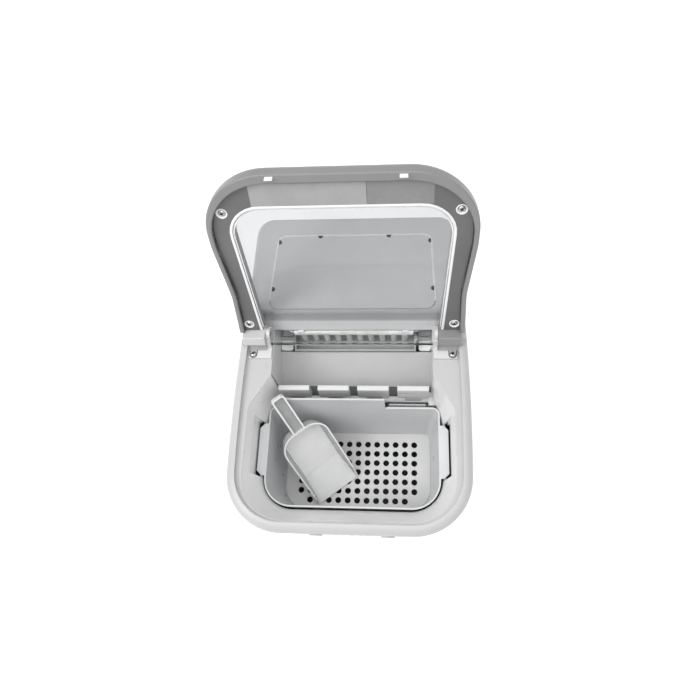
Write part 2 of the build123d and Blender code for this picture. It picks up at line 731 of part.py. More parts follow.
# Hinge brackets: foot on the deck, cheek beside the lid's lug, bored for the pin
cheek_inner = LUG_INNER - SEAT_GAP - CHEEK_T
for side, name in ((-1, "hinge_bracket_left"), (1, "hinge_bracket_right")):
    cheek_plane = Plane.YZ.offset(side * cheek_inner)
    with BuildPart() as hinge_bracket:
        with BuildSketch(cheek_plane) as cheek:
            with Locations((HINGE_Y, HINGE_Z)):
                Circle(CHEEK_R)
            with Locations((HINGE_Y, DECK_Z)):
                Trapezoid(CHEEK_BASE, HINGE_Z - DECK_Z, CHEEK_ANGLE, align=(Align.CENTER, Align.MIN))
        extrude(amount=side * CHEEK_T)
        with BuildSketch(Plane.XY.offset(DECK_Z)) as bracket_foot:
            with Locations((side * (cheek_inner + TAB_X + TAB_WIDTH / 2) / 2, TAB_Y)):
                Rectangle(TAB_X + TAB_WIDTH / 2 - cheek_inner, TAB_WIDTH)
            with Locations((side * (cheek_inner + CHEEK_T / 2), (TAB_Y + HINGE_Y) / 2)):
                Rectangle(CHEEK_T, HINGE_Y - TAB_Y)
        extrude(amount=BRACKET_T)
        with BuildSketch(Plane.XY.offset(DECK_Z)) as tab_hole:
            with Locations((side * TAB_X, TAB_Y)):
                Circle(SCREW_R)
        extrude(amount=BRACKET_T, mode=Mode.SUBTRACT)
        with BuildSketch(cheek_plane) as pin_hole:
            with Locations((HINGE_Y, HINGE_Z)):
                Circle(PIN_R)
        extrude(amount=side * CHEEK_T, mode=Mode.SUBTRACT)
    hinge_bracket.part.label = name
    export_step(hinge_bracket.part, f"parts/{name}.step")

# Hinge pins: stubs from the brackets into the lugs
pin_end = LUG_OUTER - PIN_INSET
with BuildPart() as hinge_pins:
    for side in (-1, 1):
        with BuildSketch(Plane.YZ.offset(side * cheek_inner)) as pin_section:
            with Locations((HINGE_Y, HINGE_Z)):
                Circle(PIN_R)
        extrude(amount=side * (pin_end - cheek_inner))
hinge_pins.part.label = "hinge_pins"
export_step(hinge_pins.part, "parts/hinge_pins.step")

# Hinge screws: hold the bracket tabs on the deck
with BuildPart() as hinge_screws:
    with BuildSketch(Plane.XY.offset(DECK_Z + BRACKET_T)) as tab_heads:
        with Locations((-TAB_X, TAB_Y), (TAB_X, TAB_Y)):
            Circle(SCREW_HEAD_R)
    extrude(amount=SCREW_HEAD_T)
    fillet(hinge_screws.edges().group_by(Axis.Z)[-1], SCREW_DOME)
    with BuildSketch(Plane.XY.offset(DECK_Z)) as tab_shanks:
        with Locations((-TAB_X, TAB_Y), (TAB_X, TAB_Y)):
            Circle(SCREW_R)
    extrude(amount=BRACKET_T)
hinge_screws.part.label = "hinge_screws"
export_step(hinge_screws.part, "parts/hinge_screws.step")

# Lid outer shell: skin and rounded rim as one U-shaped frame round the window, with four screw posts
lid_depth = LID_LIP - LID_TOP
post_base = LID_TOP + LID_SKIN / 2
with BuildPart() as lid_hollow:
    extrude(lid_outline(LID_TOP + LID_SKIN, LID_RIM, 0, LID_FRONT_BAND), amount=lid_depth)
    hollow_floor = lid_hollow.faces().filter_by(lid_plane).sort_by(Axis(hinge_point, lid_across))[0]
    fillet(hollow_floor.edges().sort_by(Axis(hinge_point, lid_along))[1:], LID_EDGE_R - LID_RIM)

with BuildPart() as lid_outer_shell:
    extrude(lid_outline(LID_TOP, 0, ARM_END, 0), amount=lid_depth)
    lid_top = lid_outer_shell.faces().filter_by(lid_plane).sort_by(Axis(hinge_point, lid_across))[0]
    fillet(lid_top.edges().sort_by(Axis(hinge_point, lid_along))[1:], LID_EDGE_R)
    add(lid_hollow.part, mode=Mode.SUBTRACT)
    extrude(window_outline(LID_TOP, 0, 0), amount=lid_depth, mode=Mode.SUBTRACT)
    rim_edges = lid_outer_shell.faces().filter_by(lid_plane).sort_by(Axis(hinge_point, lid_across))[-1].edges()
    fillet(rim_edges, (LID_RIM - LID_RIM_FLAT) / 2)
    with BuildSketch(lid_plane.offset(post_base)) as posts:
        for x, along in LID_SCREWS:
            with Locations((-x, along), (x, along)):
                Circle(SCREW_POST_R)
    extrude(amount=-FRAME_T - post_base)
    with BuildSketch(lid_plane.offset(LID_TOP + LID_SKIN)) as post_holes:
        for x, along in LID_SCREWS:
            with Locations((-x, along), (x, along)):
                Circle(SCREW_R)
    extrude(amount=-LID_TOP, mode=Mode.SUBTRACT)
lid_outer_shell.part.label = "lid_outer_shell"
export_step(lid_outer_shell.part, "parts/lid_outer_shell.step")

# Lid window: clear pane with a lip, clamped under the inner frame, its rear edge rolled round the hinge axis
window_level = LID_TOP + LID_SKIN
roll_outer = -window_level
roll_inner = roll_outer - WINDOW_T
frame_base = window_level + WINDOW_T
pane_rear = ARM_END + WINDOW_LAP
with BuildPart() as pane_lip:
    extrude(window_outline(frame_base, -SEAT_GAP, pane_rear), amount=-PANE_LIP_DROP - frame_base)
    extrude(window_outline(frame_base, -SEAT_GAP - PANE_LIP_T, 0), amount=-frame_base, mode=Mode.SUBTRACT)

with BuildPart() as lid_window:
    extrude(window_outline(window_level, WINDOW_FLANGE, pane_rear), amount=WINDOW_T)
    add(pane_lip.part)
    with BuildSketch(lid_plane.offset(window_level)) as window_tongue:
        Rectangle(2 * ROLL_HALF, pane_rear, align=(Align.CENTER, Align.MIN))
    extrude(amount=WINDOW_T)
    with BuildSketch(lid_side_plane(-ROLL_HALF)) as roll_section:
        with BuildLine():
            CenterArc((0, 0), roll_outer, -90, ROLL_END - 270)
            CenterArc((0, 0), roll_inner, -90, ROLL_END - 270)
            Line((0, -roll_outer), (0, -roll_inner))
            PolarLine(
                (roll_inner * cos(radians(ROLL_END)), roll_inner * sin(radians(ROLL_END))), WINDOW_T, ROLL_END
            )
        make_face()
    extrude(amount=2 * ROLL_HALF)
lid_window.part.label = "lid_window"
export_step(lid_window.part, "parts/lid_window.step")

# Lid inner frame: U-shaped plate with a wall that clamps the window, and a dish for each screw
with BuildPart() as window_wall:
    extrude(window_outline(frame_base, WINDOW_WALL, ARM_END), amount=-FRAME_T - frame_base)
    extrude(window_outline(frame_base, 0, 0), amount=-FRAME_T - frame_base, mode=Mode.SUBTRACT)

with BuildPart() as lid_inner_frame:
    extrude(lid_outline(-FRAME_T, LID_RIM + SEAT_GAP, ARM_END, LID_FRONT_BAND), amount=FRAME_T)
    extrude(window_outline(-FRAME_T, 0, 0), amount=FRAME_T, mode=Mode.SUBTRACT)
    add(window_wall.part)
    with BuildSketch(lid_plane.offset(-FRAME_T / 2)) as dishes:
        for x, along in LID_SCREWS:
            with Locations((-x, along), (x, along)):
                Circle(SCREW_HEAD_R + DISH_GAP)
    extrude(amount=FRAME_T, mode=Mode.SUBTRACT)
    with BuildSketch(lid_plane.offset(-FRAME_T)) as frame_holes:
        for x, along in LID_SCREWS:
            with Locations((-x, along), (x, along)):
                Circle(SCREW_R)
    extrude(amount=FRAME_T, mode=Mode.SUBTRACT)
lid_inner_frame.part.label = "lid_inner_frame"
export_step(lid_inner_frame.part, "parts/lid_inner_frame.step")

# Lid screws: four domed heads in the dishes
with BuildPart() as lid_screws:
    with BuildSketch(lid_plane.offset(-FRAME_T / 2)) as screw_heads:
        for x, along in LID_SCREWS:
            with Locations((-x, along), (x, along)):
                Circle(SCREW_HEAD_R)
    extrude(amount=SCREW_HEAD_T)
    head_rims = lid_screws.edges().group_by(Axis(hinge_point, lid_across))[-1]
    fillet(head_rims, SCREW_DOME)
    with BuildSketch(lid_plane.offset(window_level + SCREW_R)) as screw_shanks:
        for x, along in LID_SCREWS:
            with Locations((-x, along), (x, along)):
                Circle(SCREW_R)
    extrude(amount=-FRAME_T / 2 - window_level - SCREW_R)
lid_screws.part.label = "lid_screws"
export_step(lid_screws.part, "parts/lid_screws.step")

# Lid bumpers: two soft studs that meet the casing's rim when the lid shuts
bumper_reach = HINGE_Z - RIM_Z - SEAT_GAP
with BuildPart() as lid_bumpers:
    with BuildSketch(lid_plane.offset(LID_LIP)) as bumper_pads:
        with Locations((-BUMPER_X, LID_LENGTH - LID_RIM / 2), (BUMPER_X, LID_LENGTH - LID_RIM / 2)):
            RectangleRounded(BUMPER_LENGTH, BUMPER_T, BUMPER_R)
    extrude(amount=bumper_reach - LID_LIP)
lid_bumpers.part.label = "lid_bumpers"
export_step(lid_bumpers.part, "parts/lid_bumpers.step")

# Hinge lugs: square blocks that close the arm ends, reach out of the underside and turn on the pins
def lug_block(x):
    """Section of a lug on the plane at x."""
    with BuildSketch(lid_side_plane(x)) as section:
        with Locations((ARM_END, -LUG_BACK)):
            Rectangle(ARM_END + LUG_HEEL, LUG_BACK + LUG_REACH, align=(Align.MAX, Align.MIN))
        fillet(section.vertices(), LUG_ROUND)
    return section.sketch


with BuildPart() as lid_hinge_lugs:
    for side in (-1, 1):
        extrude(lug_block(side * LUG_INNER), amount=side * (LUG_OUTER - LUG_INNER))
        with BuildSketch(lid_side_plane(side * LUG_INNER)) as pin_bore:
            Circle(PIN_R + RUNNING_GAP)
        extrude(amount=side * (pin_end + SEAT_GAP - LUG_INNER), mode=Mode.SUBTRACT)
lid_hinge_lugs.part.label = "lid_hinge_lugs"
export_step(lid_hinge_lugs.part, "parts/lid_hinge_lugs.step")

# Inner tub: basket bay and water tank in one moulding, its rear part rising as the ice chamber's walls
chamber_top = DECK_Z - DECK_T
rail_y = (BASKET_FLOOR_FRONT + BASKET_FLOOR_REAR) / 2
hose_y = FINGER_Y + TRAY_R - TRAY_T
hose_z = TRAY_Z + HOSE_RISE
with BuildPart() as inner_tub:
    extrude(tub_outline(TUB_FLOOR - TUB_WALL, TUB_WALL), amount=FUNNEL_BASE - TUB_FLOOR + TUB_WALL)
    with BuildSketch(Plane.XY.offset(FUNNEL_BASE)) as chamber_block:
        with Locations((0, CHAMBER_Y + TUB_WALL)):
            Rectangle(
                2 * (CHAMBER_HALF + TUB_WALL), TUB_REAR - CHAMBER_Y, align=(Align.CENTER, Align.MIN)
            )
    extrude(amount=chamber_top - FUNNEL_BASE)
    extrude(tub_outline(TUB_FLOOR, 0), amount=chamber_top, mode=Mode.SUBTRACT)
    with BuildSketch(Plane.XZ.offset(-TUB_REAR + 1)) as notch:
        with Locations((0, PIPE_NOTCH_Z)):
            Rectangle(2 * CHAMBER_HALF, chamber_top, align=(Align.CENTER, Align.MIN))
    extrude(amount=-2 * TUB_WALL - 1, mode=Mode.SUBTRACT)
    with BuildSketch(Plane.XY.offset(TUB_FLOOR)) as rails:
        with Locations((-RAIL_X, rail_y), (RAIL_X, rail_y)):
            Rectangle(RAIL_T, RAIL_LENGTH)
    extrude(amount=BASKET_FLOOR - BASKET_T - SEAT_GAP - TUB_FLOOR)
    with BuildSketch(Plane.YZ.offset(-CHAMBER_HALF - TUB_WALL)) as wall_holes:
        with Locations((FINGER_Y, TRAY_Z)):
            Circle(TRAY_PIN_R + BUSH_WALL)
    extrude(amount=2 * (CHAMBER_HALF + TUB_WALL), mode=Mode.SUBTRACT)
    with BuildSketch(Plane.YZ.offset(-CHAMBER_HALF)) as hose_hole:
        with Locations((hose_y, hose_z)):
            Circle(HOSE_R + SEAT_GAP)
    extrude(amount=-TUB_WALL, mode=Mode.SUBTRACT)
    with BuildSketch(Plane.YZ.offset(CHAMBER_HALF)) as shaft_hole:
        with Locations((SHOVEL_Y, SHOVEL_Z)):
            Circle(SHOVEL_R + SHAFT_HOLE_GAP)
    extrude(amount=CHAMBER_HALF, mode=Mode.SUBTRACT)
inner_tub.part.label = "inner_tub"
export_step(inner_tub.part, "parts/inner_tub.step")

# Ice basket: tapered walls, back wall raised on the left, handle ledges, slots low in the front corners
ledge_y = (LEDGE_FRONT + LEDGE_REAR) / 2
corner_x = BASKET_FLOOR_HALF - BASKET_FRONT_R
corner_y = BASKET_FLOOR_FRONT + BASKET_FRONT_R
ledge_length = LEDGE_REAR - LEDGE_FRONT
with BuildPart() as ice_basket:
    loft(sections=[basket_outline(BASKET_FLOOR - BASKET_T, 0), basket_outline(BASKET_BACK, 0)], ruled=True)
    with BuildSketch(Plane.XY.offset(BASKET_RIM)) as rim_cut:
        with Locations((0, BASKET_RIM_REAR - BACK_DEPTH)):
            Rectangle(3 * BASKET_RIM_HALF, 4 * REAR_Y, align=(Align.CENTER, Align.MAX))
        with Locations((BACK_STEP_X, 0)):
            Rectangle(3 * BASKET_RIM_HALF, 4 * REAR_Y, align=(Align.MIN, Align.CENTER))
        with Locations((-BACK_END_X, 0)):
            Rectangle(3 * BASKET_RIM_HALF, 4 * REAR_Y, align=(Align.MAX, Align.CENTER))
    extrude(amount=BASKET_BACK, mode=Mode.SUBTRACT)
    with BuildSketch(Plane.XY.offset(BASKET_RIM - LEDGE_T)) as ledges:
        with Locations((0, ledge_y)):
            Rectangle(2 * LEDGE_HALF, ledge_length)
        chamfer(ledges.vertices(), LEDGE_CHAMFER)
    extrude(amount=LEDGE_T)
    loft(
        sections=[basket_outline(BASKET_FLOOR - BASKET_T, BASKET_T), basket_outline(BASKET_BACK, BASKET_T)],
        ruled=True,
        mode=Mode.SUBTRACT,
    )
    for side in (-1, 1):
        for turn in SLOT_TURNS:
            slot_plane = Plane(
                origin=(side * corner_x, corner_y, BASKET_FLOOR + SLOT_RISE),
                x_dir=(0, 0, 1),
                z_dir=(side * cos(radians(turn)), -sin(radians(turn)), 0),
            )
            with BuildSketch(slot_plane) as corner_slot:
                SlotOverall(SLOT_HEIGHT, SLOT_WIDTH)
            extrude(amount=2 * BASKET_FRONT_R, mode=Mode.SUBTRACT)
ice_basket.part.label = "ice_basket"
export_step(ice_basket.part, "parts/ice_basket.step")

# Basket floor: plate with a grid of drain holes, the front row two short
with BuildPart() as basket_floor:
    extrude(basket_outline(BASKET_FLOOR - BASKET_T, BASKET_T), amount=BASKET_T)
    with BuildSketch(Plane.XY.offset(BASKET_FLOOR - BASKET_T)) as drain_holes:
        with Locations((0, FIRST_HOLE_Y - (HOLE_ROWS - 1) * HOLE_PITCH / 2)):
            with GridLocations(HOLE_PITCH, HOLE_PITCH, HOLE_COLUMNS, HOLE_ROWS):
                Circle(HOLE_R)
        with Locations((0, FIRST_HOLE_Y - HOLE_ROWS * HOLE_PITCH)):
            with GridLocations(HOLE_PITCH, HOLE_PITCH, HOLE_COLUMNS - 2, 1):
                Circle(HOLE_R)
    extrude(amount=BASKET_T, mode=Mode.SUBTRACT)
basket_floor.part.label = "basket_floor"
export_step(basket_floor.part, "parts/basket_floor.step")

# Scoop: bowl with a sloping blade, its rim in line with a hollow handle that leans on the basket's back wall
heading = radians(SCOOP_HEADING)
tilt = radians(SCOOP_TILT)
scoop_plane = Plane(
    origin=TIP,
    x_dir=(cos(heading), sin(heading), 0),
    z_dir=(sin(tilt) * sin(heading), -sin(tilt) * cos(heading), cos(tilt)),
)


def bowl_outline(inset, front):
    """Plan of the scoop's bowl at its lowest level, inset from its rim size, from front to its rounded back."""
    inset = inset + (BOWL_DEPTH + HANDLE_T) * tan(radians(BOWL_DRAFT))
    with BuildSketch(scoop_plane.offset(-BOWL_DEPTH)) as outline:
        with BuildLine():
            Polyline(
                (inset - BOWL_HALF, front),
                (BOWL_HALF - inset, front),
                (BOWL_HALF - inset, BOWL_LENGTH - inset),
                (inset - BOWL_HALF, BOWL_LENGTH - inset),
                close=True,
            )
        make_face()
        fillet(outline.vertices().group_by(Axis.Y)[-1], BOWL_R - inset)
    return outline.sketch


# Side view of the scoop: along it from the tip, then out of its open side
scoop_side = Plane(origin=TIP, x_dir=scoop_plane.y_dir, z_dir=scoop_plane.x_dir)
with BuildPart() as bowl_hollow:
    with BuildSketch(scoop_side) as hollow_profile:
        with BuildLine():
            Polyline(
                (0, SCOOP_T),
                (BLADE_RUN, SCOOP_T - BOWL_DEPTH),
                (BOWL_LENGTH - SCOOP_T, SCOOP_T - BOWL_DEPTH),
                (BOWL_LENGTH - SCOOP_T, 2 * HANDLE_T),
                (0, 2 * HANDLE_T),
                close=True,
            )
        make_face()
        fillet(hollow_profile.vertices().group_by(Axis.Y)[0].sort_by(Axis.X)[-1], BOWL_HEEL_R - SCOOP_T)
    extrude(amount=BOWL_HALF - SCOOP_T, both=True)
    extrude(
        bowl_outline(SCOOP_T, -SCOOP_T), amount=BOWL_DEPTH + HANDLE_T, taper=-BOWL_DRAFT, mode=Mode.INTERSECT
    )

with BuildPart() as ice_scoop:
    with BuildSketch(scoop_side) as bowl_profile:
        with BuildLine():
            Polyline(
                (0, 0),
                (BLADE_RUN, -BOWL_DEPTH),
                (BOWL_LENGTH, -BOWL_DEPTH),
                (BOWL_LENGTH, HANDLE_T),
                (RIM_RUN, HANDLE_T),
                (0, SCOOP_T),
                close=True,
            )
        make_face()
        fillet(bowl_profile.vertices().group_by(Axis.Y)[0].sort_by(Axis.X)[-1], BOWL_HEEL_R)
    extrude(amount=BOWL_HALF, both=True)
    extrude(bowl_outline(0, 0), amount=BOWL_DEPTH + HANDLE_T, taper=-BOWL_DRAFT, mode=Mode.INTERSECT)
    add(bowl_hollow.part, mode=Mode.SUBTRACT)
    with BuildSketch(scoop_plane) as handle:
        with Locations((0, SCOOP_LENGTH)):
            Rectangle(HANDLE_WIDTH, SCOOP_LENGTH - BOWL_LENGTH + SCOOP_T, align=(Align.CENTER, Align.MAX))
        fillet(handle.vertices().group_by(Axis.Y)[-1], HANDLE_R)
    extrude(amount=HANDLE_T)
    with BuildSketch(scoop_plane.offset(SCOOP_T)) as handle_recess:
        add(handle.sketch_local)
        offset(amount=-SCOOP_T, mode=Mode.REPLACE)
    extrude(amount=HANDLE_T, mode=Mode.SUBTRACT)
ice_scoop.part.label = "ice_scoop"
export_step(ice_scoop.part, "parts/ice_scoop.step")

# Water tray: half-round trough that tips forward about its own axis
with BuildPart() as water_tray:
    with BuildSketch(Plane.YZ.offset(-TRAY_HALF)) as tray_section:
        with Locations((FINGER_Y, TRAY_Z)):
            Circle(TRAY_R)
            Rectangle(3 * TRAY_R, 2 * TRAY_R, align=(Align.CENTER, Align.MIN), mode=Mode.SUBTRACT)
    extrude(amount=2 * TRAY_HALF)
    with BuildSketch(Plane.YZ.offset(TRAY_T - TRAY_HALF)) as tray_cavity:
        with Locations((FINGER_Y, TRAY_Z)):
            Circle(TRAY_R - TRAY_T)
    extrude(amount=2 * (TRAY_HALF - TRAY_T), mode=Mode.SUBTRACT)
    for side in (-1, 1):
        with BuildSketch(Plane.YZ.offset(side * (TRAY_HALF - TRAY_T))) as tray_hub:
            with Locations((FINGER_Y, TRAY_Z)):
                Circle(TRAY_PIN_R + TRAY_HUB_WALL)
        extrude(amount=side * 2 * TRAY_T)
        with BuildSketch(Plane.YZ.offset(side * TRAY_HALF)) as tray_pin:
            with Locations((FINGER_Y, TRAY_Z)):
                Circle(TRAY_PIN_R)
        extrude(amount=side * (CHAMBER_HALF + TUB_WALL - TRAY_HALF + TRAY_PIN_REACH))
water_tray.part.label = "water_tray"
export_step(water_tray.part, "parts/water_tray.step")

# Tray bearing: flanged bush in the tub's left wall
with BuildPart() as tray_bearing:
    with BuildSketch(Plane.YZ.offset(-CHAMBER_HALF)) as bush:
        with Locations((FINGER_Y, TRAY_Z)):
            Circle(TRAY_PIN_R + BUSH_WALL)
    extrude(amount=-TUB_WALL)
    with BuildSketch(Plane.YZ.offset(-CHAMBER_HALF - TUB_WALL)) as bush_flange:
        with Locations((FINGER_Y, TRAY_Z)):
            Circle(TRAY_PIN_R + BUSH_WALL + BUSH_FLANGE)
    extrude(amount=-TUB_WALL - TRAY_PIN_REACH)
    with BuildSketch(Plane.YZ.offset(-CHAMBER_HALF)) as bush_bore:
        with Locations((FINGER_Y, TRAY_Z)):
            Circle(TRAY_PIN_R + RUNNING_GAP)
    extrude(amount=-TUB_WALL - TRAY_PIN_REACH - SEAT_GAP, mode=Mode.SUBTRACT)
tray_bearing.part.label = "tray_bearing"
export_step(tray_bearing.part, "parts/tray_bearing.step")

# Evaporator header: the cooled tube that carries the fingers
with BuildPart() as evaporator_header:
    with BuildSketch(Plane.YZ.offset(-HEADER_HALF)) as header_section:
        with Locations((FINGER_Y, HEADER_Z)):
            Circle(HEADER_R)
    extrude(amount=2 * HEADER_HALF)
evaporator_header.part.label = "evaporator_header"
export_step(evaporator_header.part, "parts/evaporator_header.step")

# Evaporator fingers: plated rods that hang from the header into the tray
with BuildPart() as evaporator_fingers:
    with BuildSketch(Plane.XY.offset(FINGER_TIP)) as finger_sections:
        with Locations((0, FINGER_Y)):
            with GridLocations(FINGER_PITCH, 1, FINGER_COUNT, 1):
                Circle(FINGER_R)
    extrude(amount=HEADER_Z - FINGER_TIP)
    fillet(evaporator_fingers.edges().group_by(Axis.Z)[0], FINGER_R / 2)
    add(evaporator_header.part, mode=Mode.SUBTRACT)
evaporator_fingers.part.label = "evaporator_fingers"
export_step(evaporator_fingers.part, "parts/evaporator_fingers.step")

# Evaporator clips: hold the header under the deck
with BuildPart() as evaporator_clips:
    with BuildSketch(Plane.XY.offset(HEADER_Z)) as clip_blocks:
        with Locations((-CLIP_X, FINGER_Y + CLIP_SHIFT), (CLIP_X, FINGER_Y + CLIP_SHIFT)):
            Rectangle(CLIP_WIDTH, CLIP_DEPTH)
    extrude(amount=DECK_Z - DECK_T - HEADER_Z)
    add(evaporator_header.part, mode=Mode.SUBTRACT)
evaporator_clips.part.label = "evaporator_clips"
export_step(evaporator_clips.part, "parts/evaporator_clips.step")

# Ice shovel: shaft with four paddles on short necks
paddle_pitch = PADDLE_WIDTH + PADDLE_GAP
paddle_foot = SHOVEL_Z + NECK_HEIGHT
bay_half = BAY_HALF + TUB_GROWTH
with BuildPart() as ice_shovel:
    with BuildSketch(Plane.YZ.offset(SEAT_GAP - bay_half)) as shaft_section:
        with Locations((SHOVEL_Y, SHOVEL_Z)):
            Circle(SHOVEL_R)
    extrude(amount=bay_half - SEAT_GAP + GEARBOX_OUT - SHAFT_END)
    with BuildSketch(Plane.XY.offset(paddle_foot)) as paddles:
        with Locations((0, SHOVEL_Y)):
            with GridLocations(paddle_pitch, 1, PADDLE_COUNT, 1):
                Rectangle(PADDLE_WIDTH, PADDLE_T)
    extrude(amount=PADDLE_TOP - paddle_foot)
    fillet(ice_shovel.edges().group_by(Axis.Z)[-1].filter_by(Axis.X), PADDLE_ROUND)
    with BuildSketch(Plane.XY.offset(SHOVEL_Z)) as necks:
        with Locations((0, SHOVEL_Y)):
            with GridLocations(paddle_pitch, 1, PADDLE_COUNT, 1):
                Rectangle(NECK_WIDTH, NECK_T)
    extrude(amount=paddle_foot - SHOVEL_Z)
ice_shovel.part.label = "ice_shovel"
export_step(ice_shovel.part, "parts/ice_shovel.step")

# Shovel bearings: blocks on the bay's walls
with BuildPart() as shovel_bearings:
    for side in (-1, 1):
        with BuildSketch(Plane.YZ.offset(side * BEARING_IN)) as bearing_section:
            with Locations((CHAMBER_Y, SHOVEL_Z)):
                Rectangle(BEARING_DEPTH, BEARING_HEIGHT, align=(Align.MAX, Align.CENTER))
            with Locations((SHOVEL_Y, SHOVEL_Z)):
                Circle(SHOVEL_R + RUNNING_GAP, mode=Mode.SUBTRACT)
        extrude(amount=side * (bay_half - BEARING_IN))
shovel_bearings.part.label = "shovel_bearings"
export_step(shovel_bearings.part, "parts/shovel_bearings.step")

# Ice slide: fixed sloping floor just under the paddles when they lie back, up to the tray's front edge
lie = radians(SHOVEL_LIE)
slide_plane = Plane(
    origin=(0, SHOVEL_Y + SLIDE_DROP * cos(lie), SHOVEL_Z - SLIDE_DROP * sin(lie)),
    x_dir=(1, 0, 0),
    z_dir=(0, -cos(lie), sin(lie)),
)
with BuildPart() as ice_slide:
    with BuildSketch(slide_plane.offset(-SLIDE_T)) as slide_plate:
        with Locations((0, SLIDE_NOTCH)):
            Rectangle(2 * CHAMBER_HALF, SLIDE_LENGTH - SLIDE_NOTCH, align=(Align.CENTER, Align.MIN))
        Rectangle(2 * (BEARING_IN - SLIDE_SIDE), SLIDE_LENGTH, align=(Align.CENTER, Align.MIN))
    extrude(amount=SLIDE_T)
ice_slide.part.label = "ice_slide"
export_step(ice_slide.part, "parts/ice_slide.step")

# Drive gearbox: closed housing outside the tub's right wall that turns tray and shovel together
gearbox_in = CHAMBER_HALF + TUB_WALL
with BuildPart() as drive_gearbox:
    with BuildSketch(Plane.YZ.offset(gearbox_in)) as gearbox_main:
        with Locations((GEARBOX_Y, GEARBOX_Z)):
            RectangleRounded(GEARBOX_LENGTH, GEARBOX_HEIGHT, GEARBOX_R)
    extrude(amount=GEARBOX_OUT - gearbox_in)
    with BuildSketch(Plane.YZ.offset(bay_half + TUB_WALL)) as gearbox_lobe:
        with Locations((SHOVEL_Y + LOBE_SHIFT, SHOVEL_Z)):
            Rectangle(LOBE_LENGTH, LOBE_HEIGHT)
    extrude(amount=GEARBOX_OUT - bay_half - TUB_WALL)
    with BuildSketch(Plane.YZ.offset(CHAMBER_HALF)) as gearbox_spigot:
        with Locations((FINGER_Y, TRAY_Z)):
            Circle(TRAY_PIN_R + BUSH_WALL)
    extrude(amount=TUB_WALL)
    with BuildSketch(Plane.YZ.offset(CHAMBER_HALF)) as tray_socket:
        with Locations((FINGER_Y, TRAY_Z)):
            Circle(TRAY_PIN_R + RUNNING_GAP)
    extrude(amount=TUB_WALL + TRAY_PIN_REACH + SEAT_GAP, mode=Mode.SUBTRACT)
    with BuildSketch(Plane.YZ.offset(bay_half)) as shovel_socket:
        with Locations((SHOVEL_Y, SHOVEL_Z)):
            Circle(SHOVEL_R + RUNNING_GAP)
    extrude(amount=GEARBOX_OUT - bay_half - SOCKET_END, mode=Mode.SUBTRACT)
drive_gearbox.part.label = "drive_gearbox"
export_step(drive_gearbox.part, "parts/drive_gearbox.step")

# Compressor: welded shell on a three-lobed base
with BuildPart() as compressor:
    with BuildSketch(Plane.XY.offset(COMPRESSOR_BASE)) as shell_section:
        with Locations((COMPRESSOR_X, COMPRESSOR_Y)):
            Circle(COMPRESSOR_R)
    extrude(amount=COMPRESSOR_TOP - COMPRESSOR_BASE)
    fillet(compressor.edges().group_by(Axis.Z)[-1], COMPRESSOR_DOME)
    with BuildSketch(Plane.XY.offset((COMPRESSOR_TOP + COMPRESSOR_BASE) / 2)) as weld_band:
        with Locations((COMPRESSOR_X, COMPRESSOR_Y)):
            Circle(COMPRESSOR_R + WELD_PROUD)
    extrude(amount=WELD_WIDTH)
    with BuildSketch(Plane.XY.offset(COMPRESSOR_BASE)) as base_lobes:
        with Locations((COMPRESSOR_X, COMPRESSOR_Y)):
            with PolarLocations(COMPRESSOR_R + BASE_REACH, 3, start_angle=90):
                Circle(BASE_R)
    extrude(amount=BASE_T)
compressor.part.label = "compressor"
export_step(compressor.part, "parts/compressor.step")

# Compressor mounts: rubber bushes between base and pan
with BuildPart() as compressor_mounts:
    with BuildSketch(Plane.XY.offset(pan_top)) as mount_bushes:
        with Locations((COMPRESSOR_X, COMPRESSOR_Y)):
            with PolarLocations(COMPRESSOR_R + BASE_REACH, 3, start_angle=90):
                Circle(MOUNT_R)
    extrude(amount=COMPRESSOR_BASE - pan_top)
compressor_mounts.part.label = "compressor_mounts"
export_step(compressor_mounts.part, "parts/compressor_mounts.step")

# Condenser: row of fins on straight tubes
tube_pitch = CONDENSER_HEIGHT / TUBE_COUNT
with BuildPart() as condenser:
    with BuildSketch(Plane.XY.offset(CONDENSER_Z - CONDENSER_HEIGHT / 2)) as fins:
        with Locations((CONDENSER_X, CONDENSER_Y)):
            with GridLocations((CONDENSER_WIDTH - FIN_T) / (FIN_COUNT - 1), 1, FIN_COUNT, 1):
                Rectangle(FIN_T, CONDENSER_DEPTH)
    extrude(amount=CONDENSER_HEIGHT)
    with BuildSketch(Plane.YZ.offset(CONDENSER_X - CONDENSER_WIDTH / 2)) as tubes:
        with Locations((CONDENSER_Y, CONDENSER_Z)):
            with GridLocations(1, tube_pitch, 1, TUBE_COUNT):
                Circle(TUBE_R)
    extrude(amount=CONDENSER_WIDTH)
condenser.part.label = "condenser"
export_step(condenser.part, "parts/condenser.step")

# Fan shroud: plate on the pan in front of the condenser
shroud_top = CONDENSER_Z + CONDENSER_HEIGHT / 2
shroud_y = CONDENSER_Y - CONDENSER_DEPTH / 2
with BuildPart() as fan_shroud:
    with BuildSketch(Plane.XZ.offset(-shroud_y)) as shroud_plate:
        with Locations((CONDENSER_X, pan_top)):
            Rectangle(
                CONDENSER_WIDTH + 2 * SHROUD_EDGE, shroud_top - pan_top, align=(Align.CENTER, Align.MIN)
            )
        with Locations((CONDENSER_X, CONDENSER_Z)):
            Circle(FAN_R + SHROUD_GAP, mode=Mode.SUBTRACT)
    extrude(amount=SHROUD_T)
fan_shroud.part.label = "fan_shroud"
export_step(fan_shroud.part, "parts/fan_shroud.step")

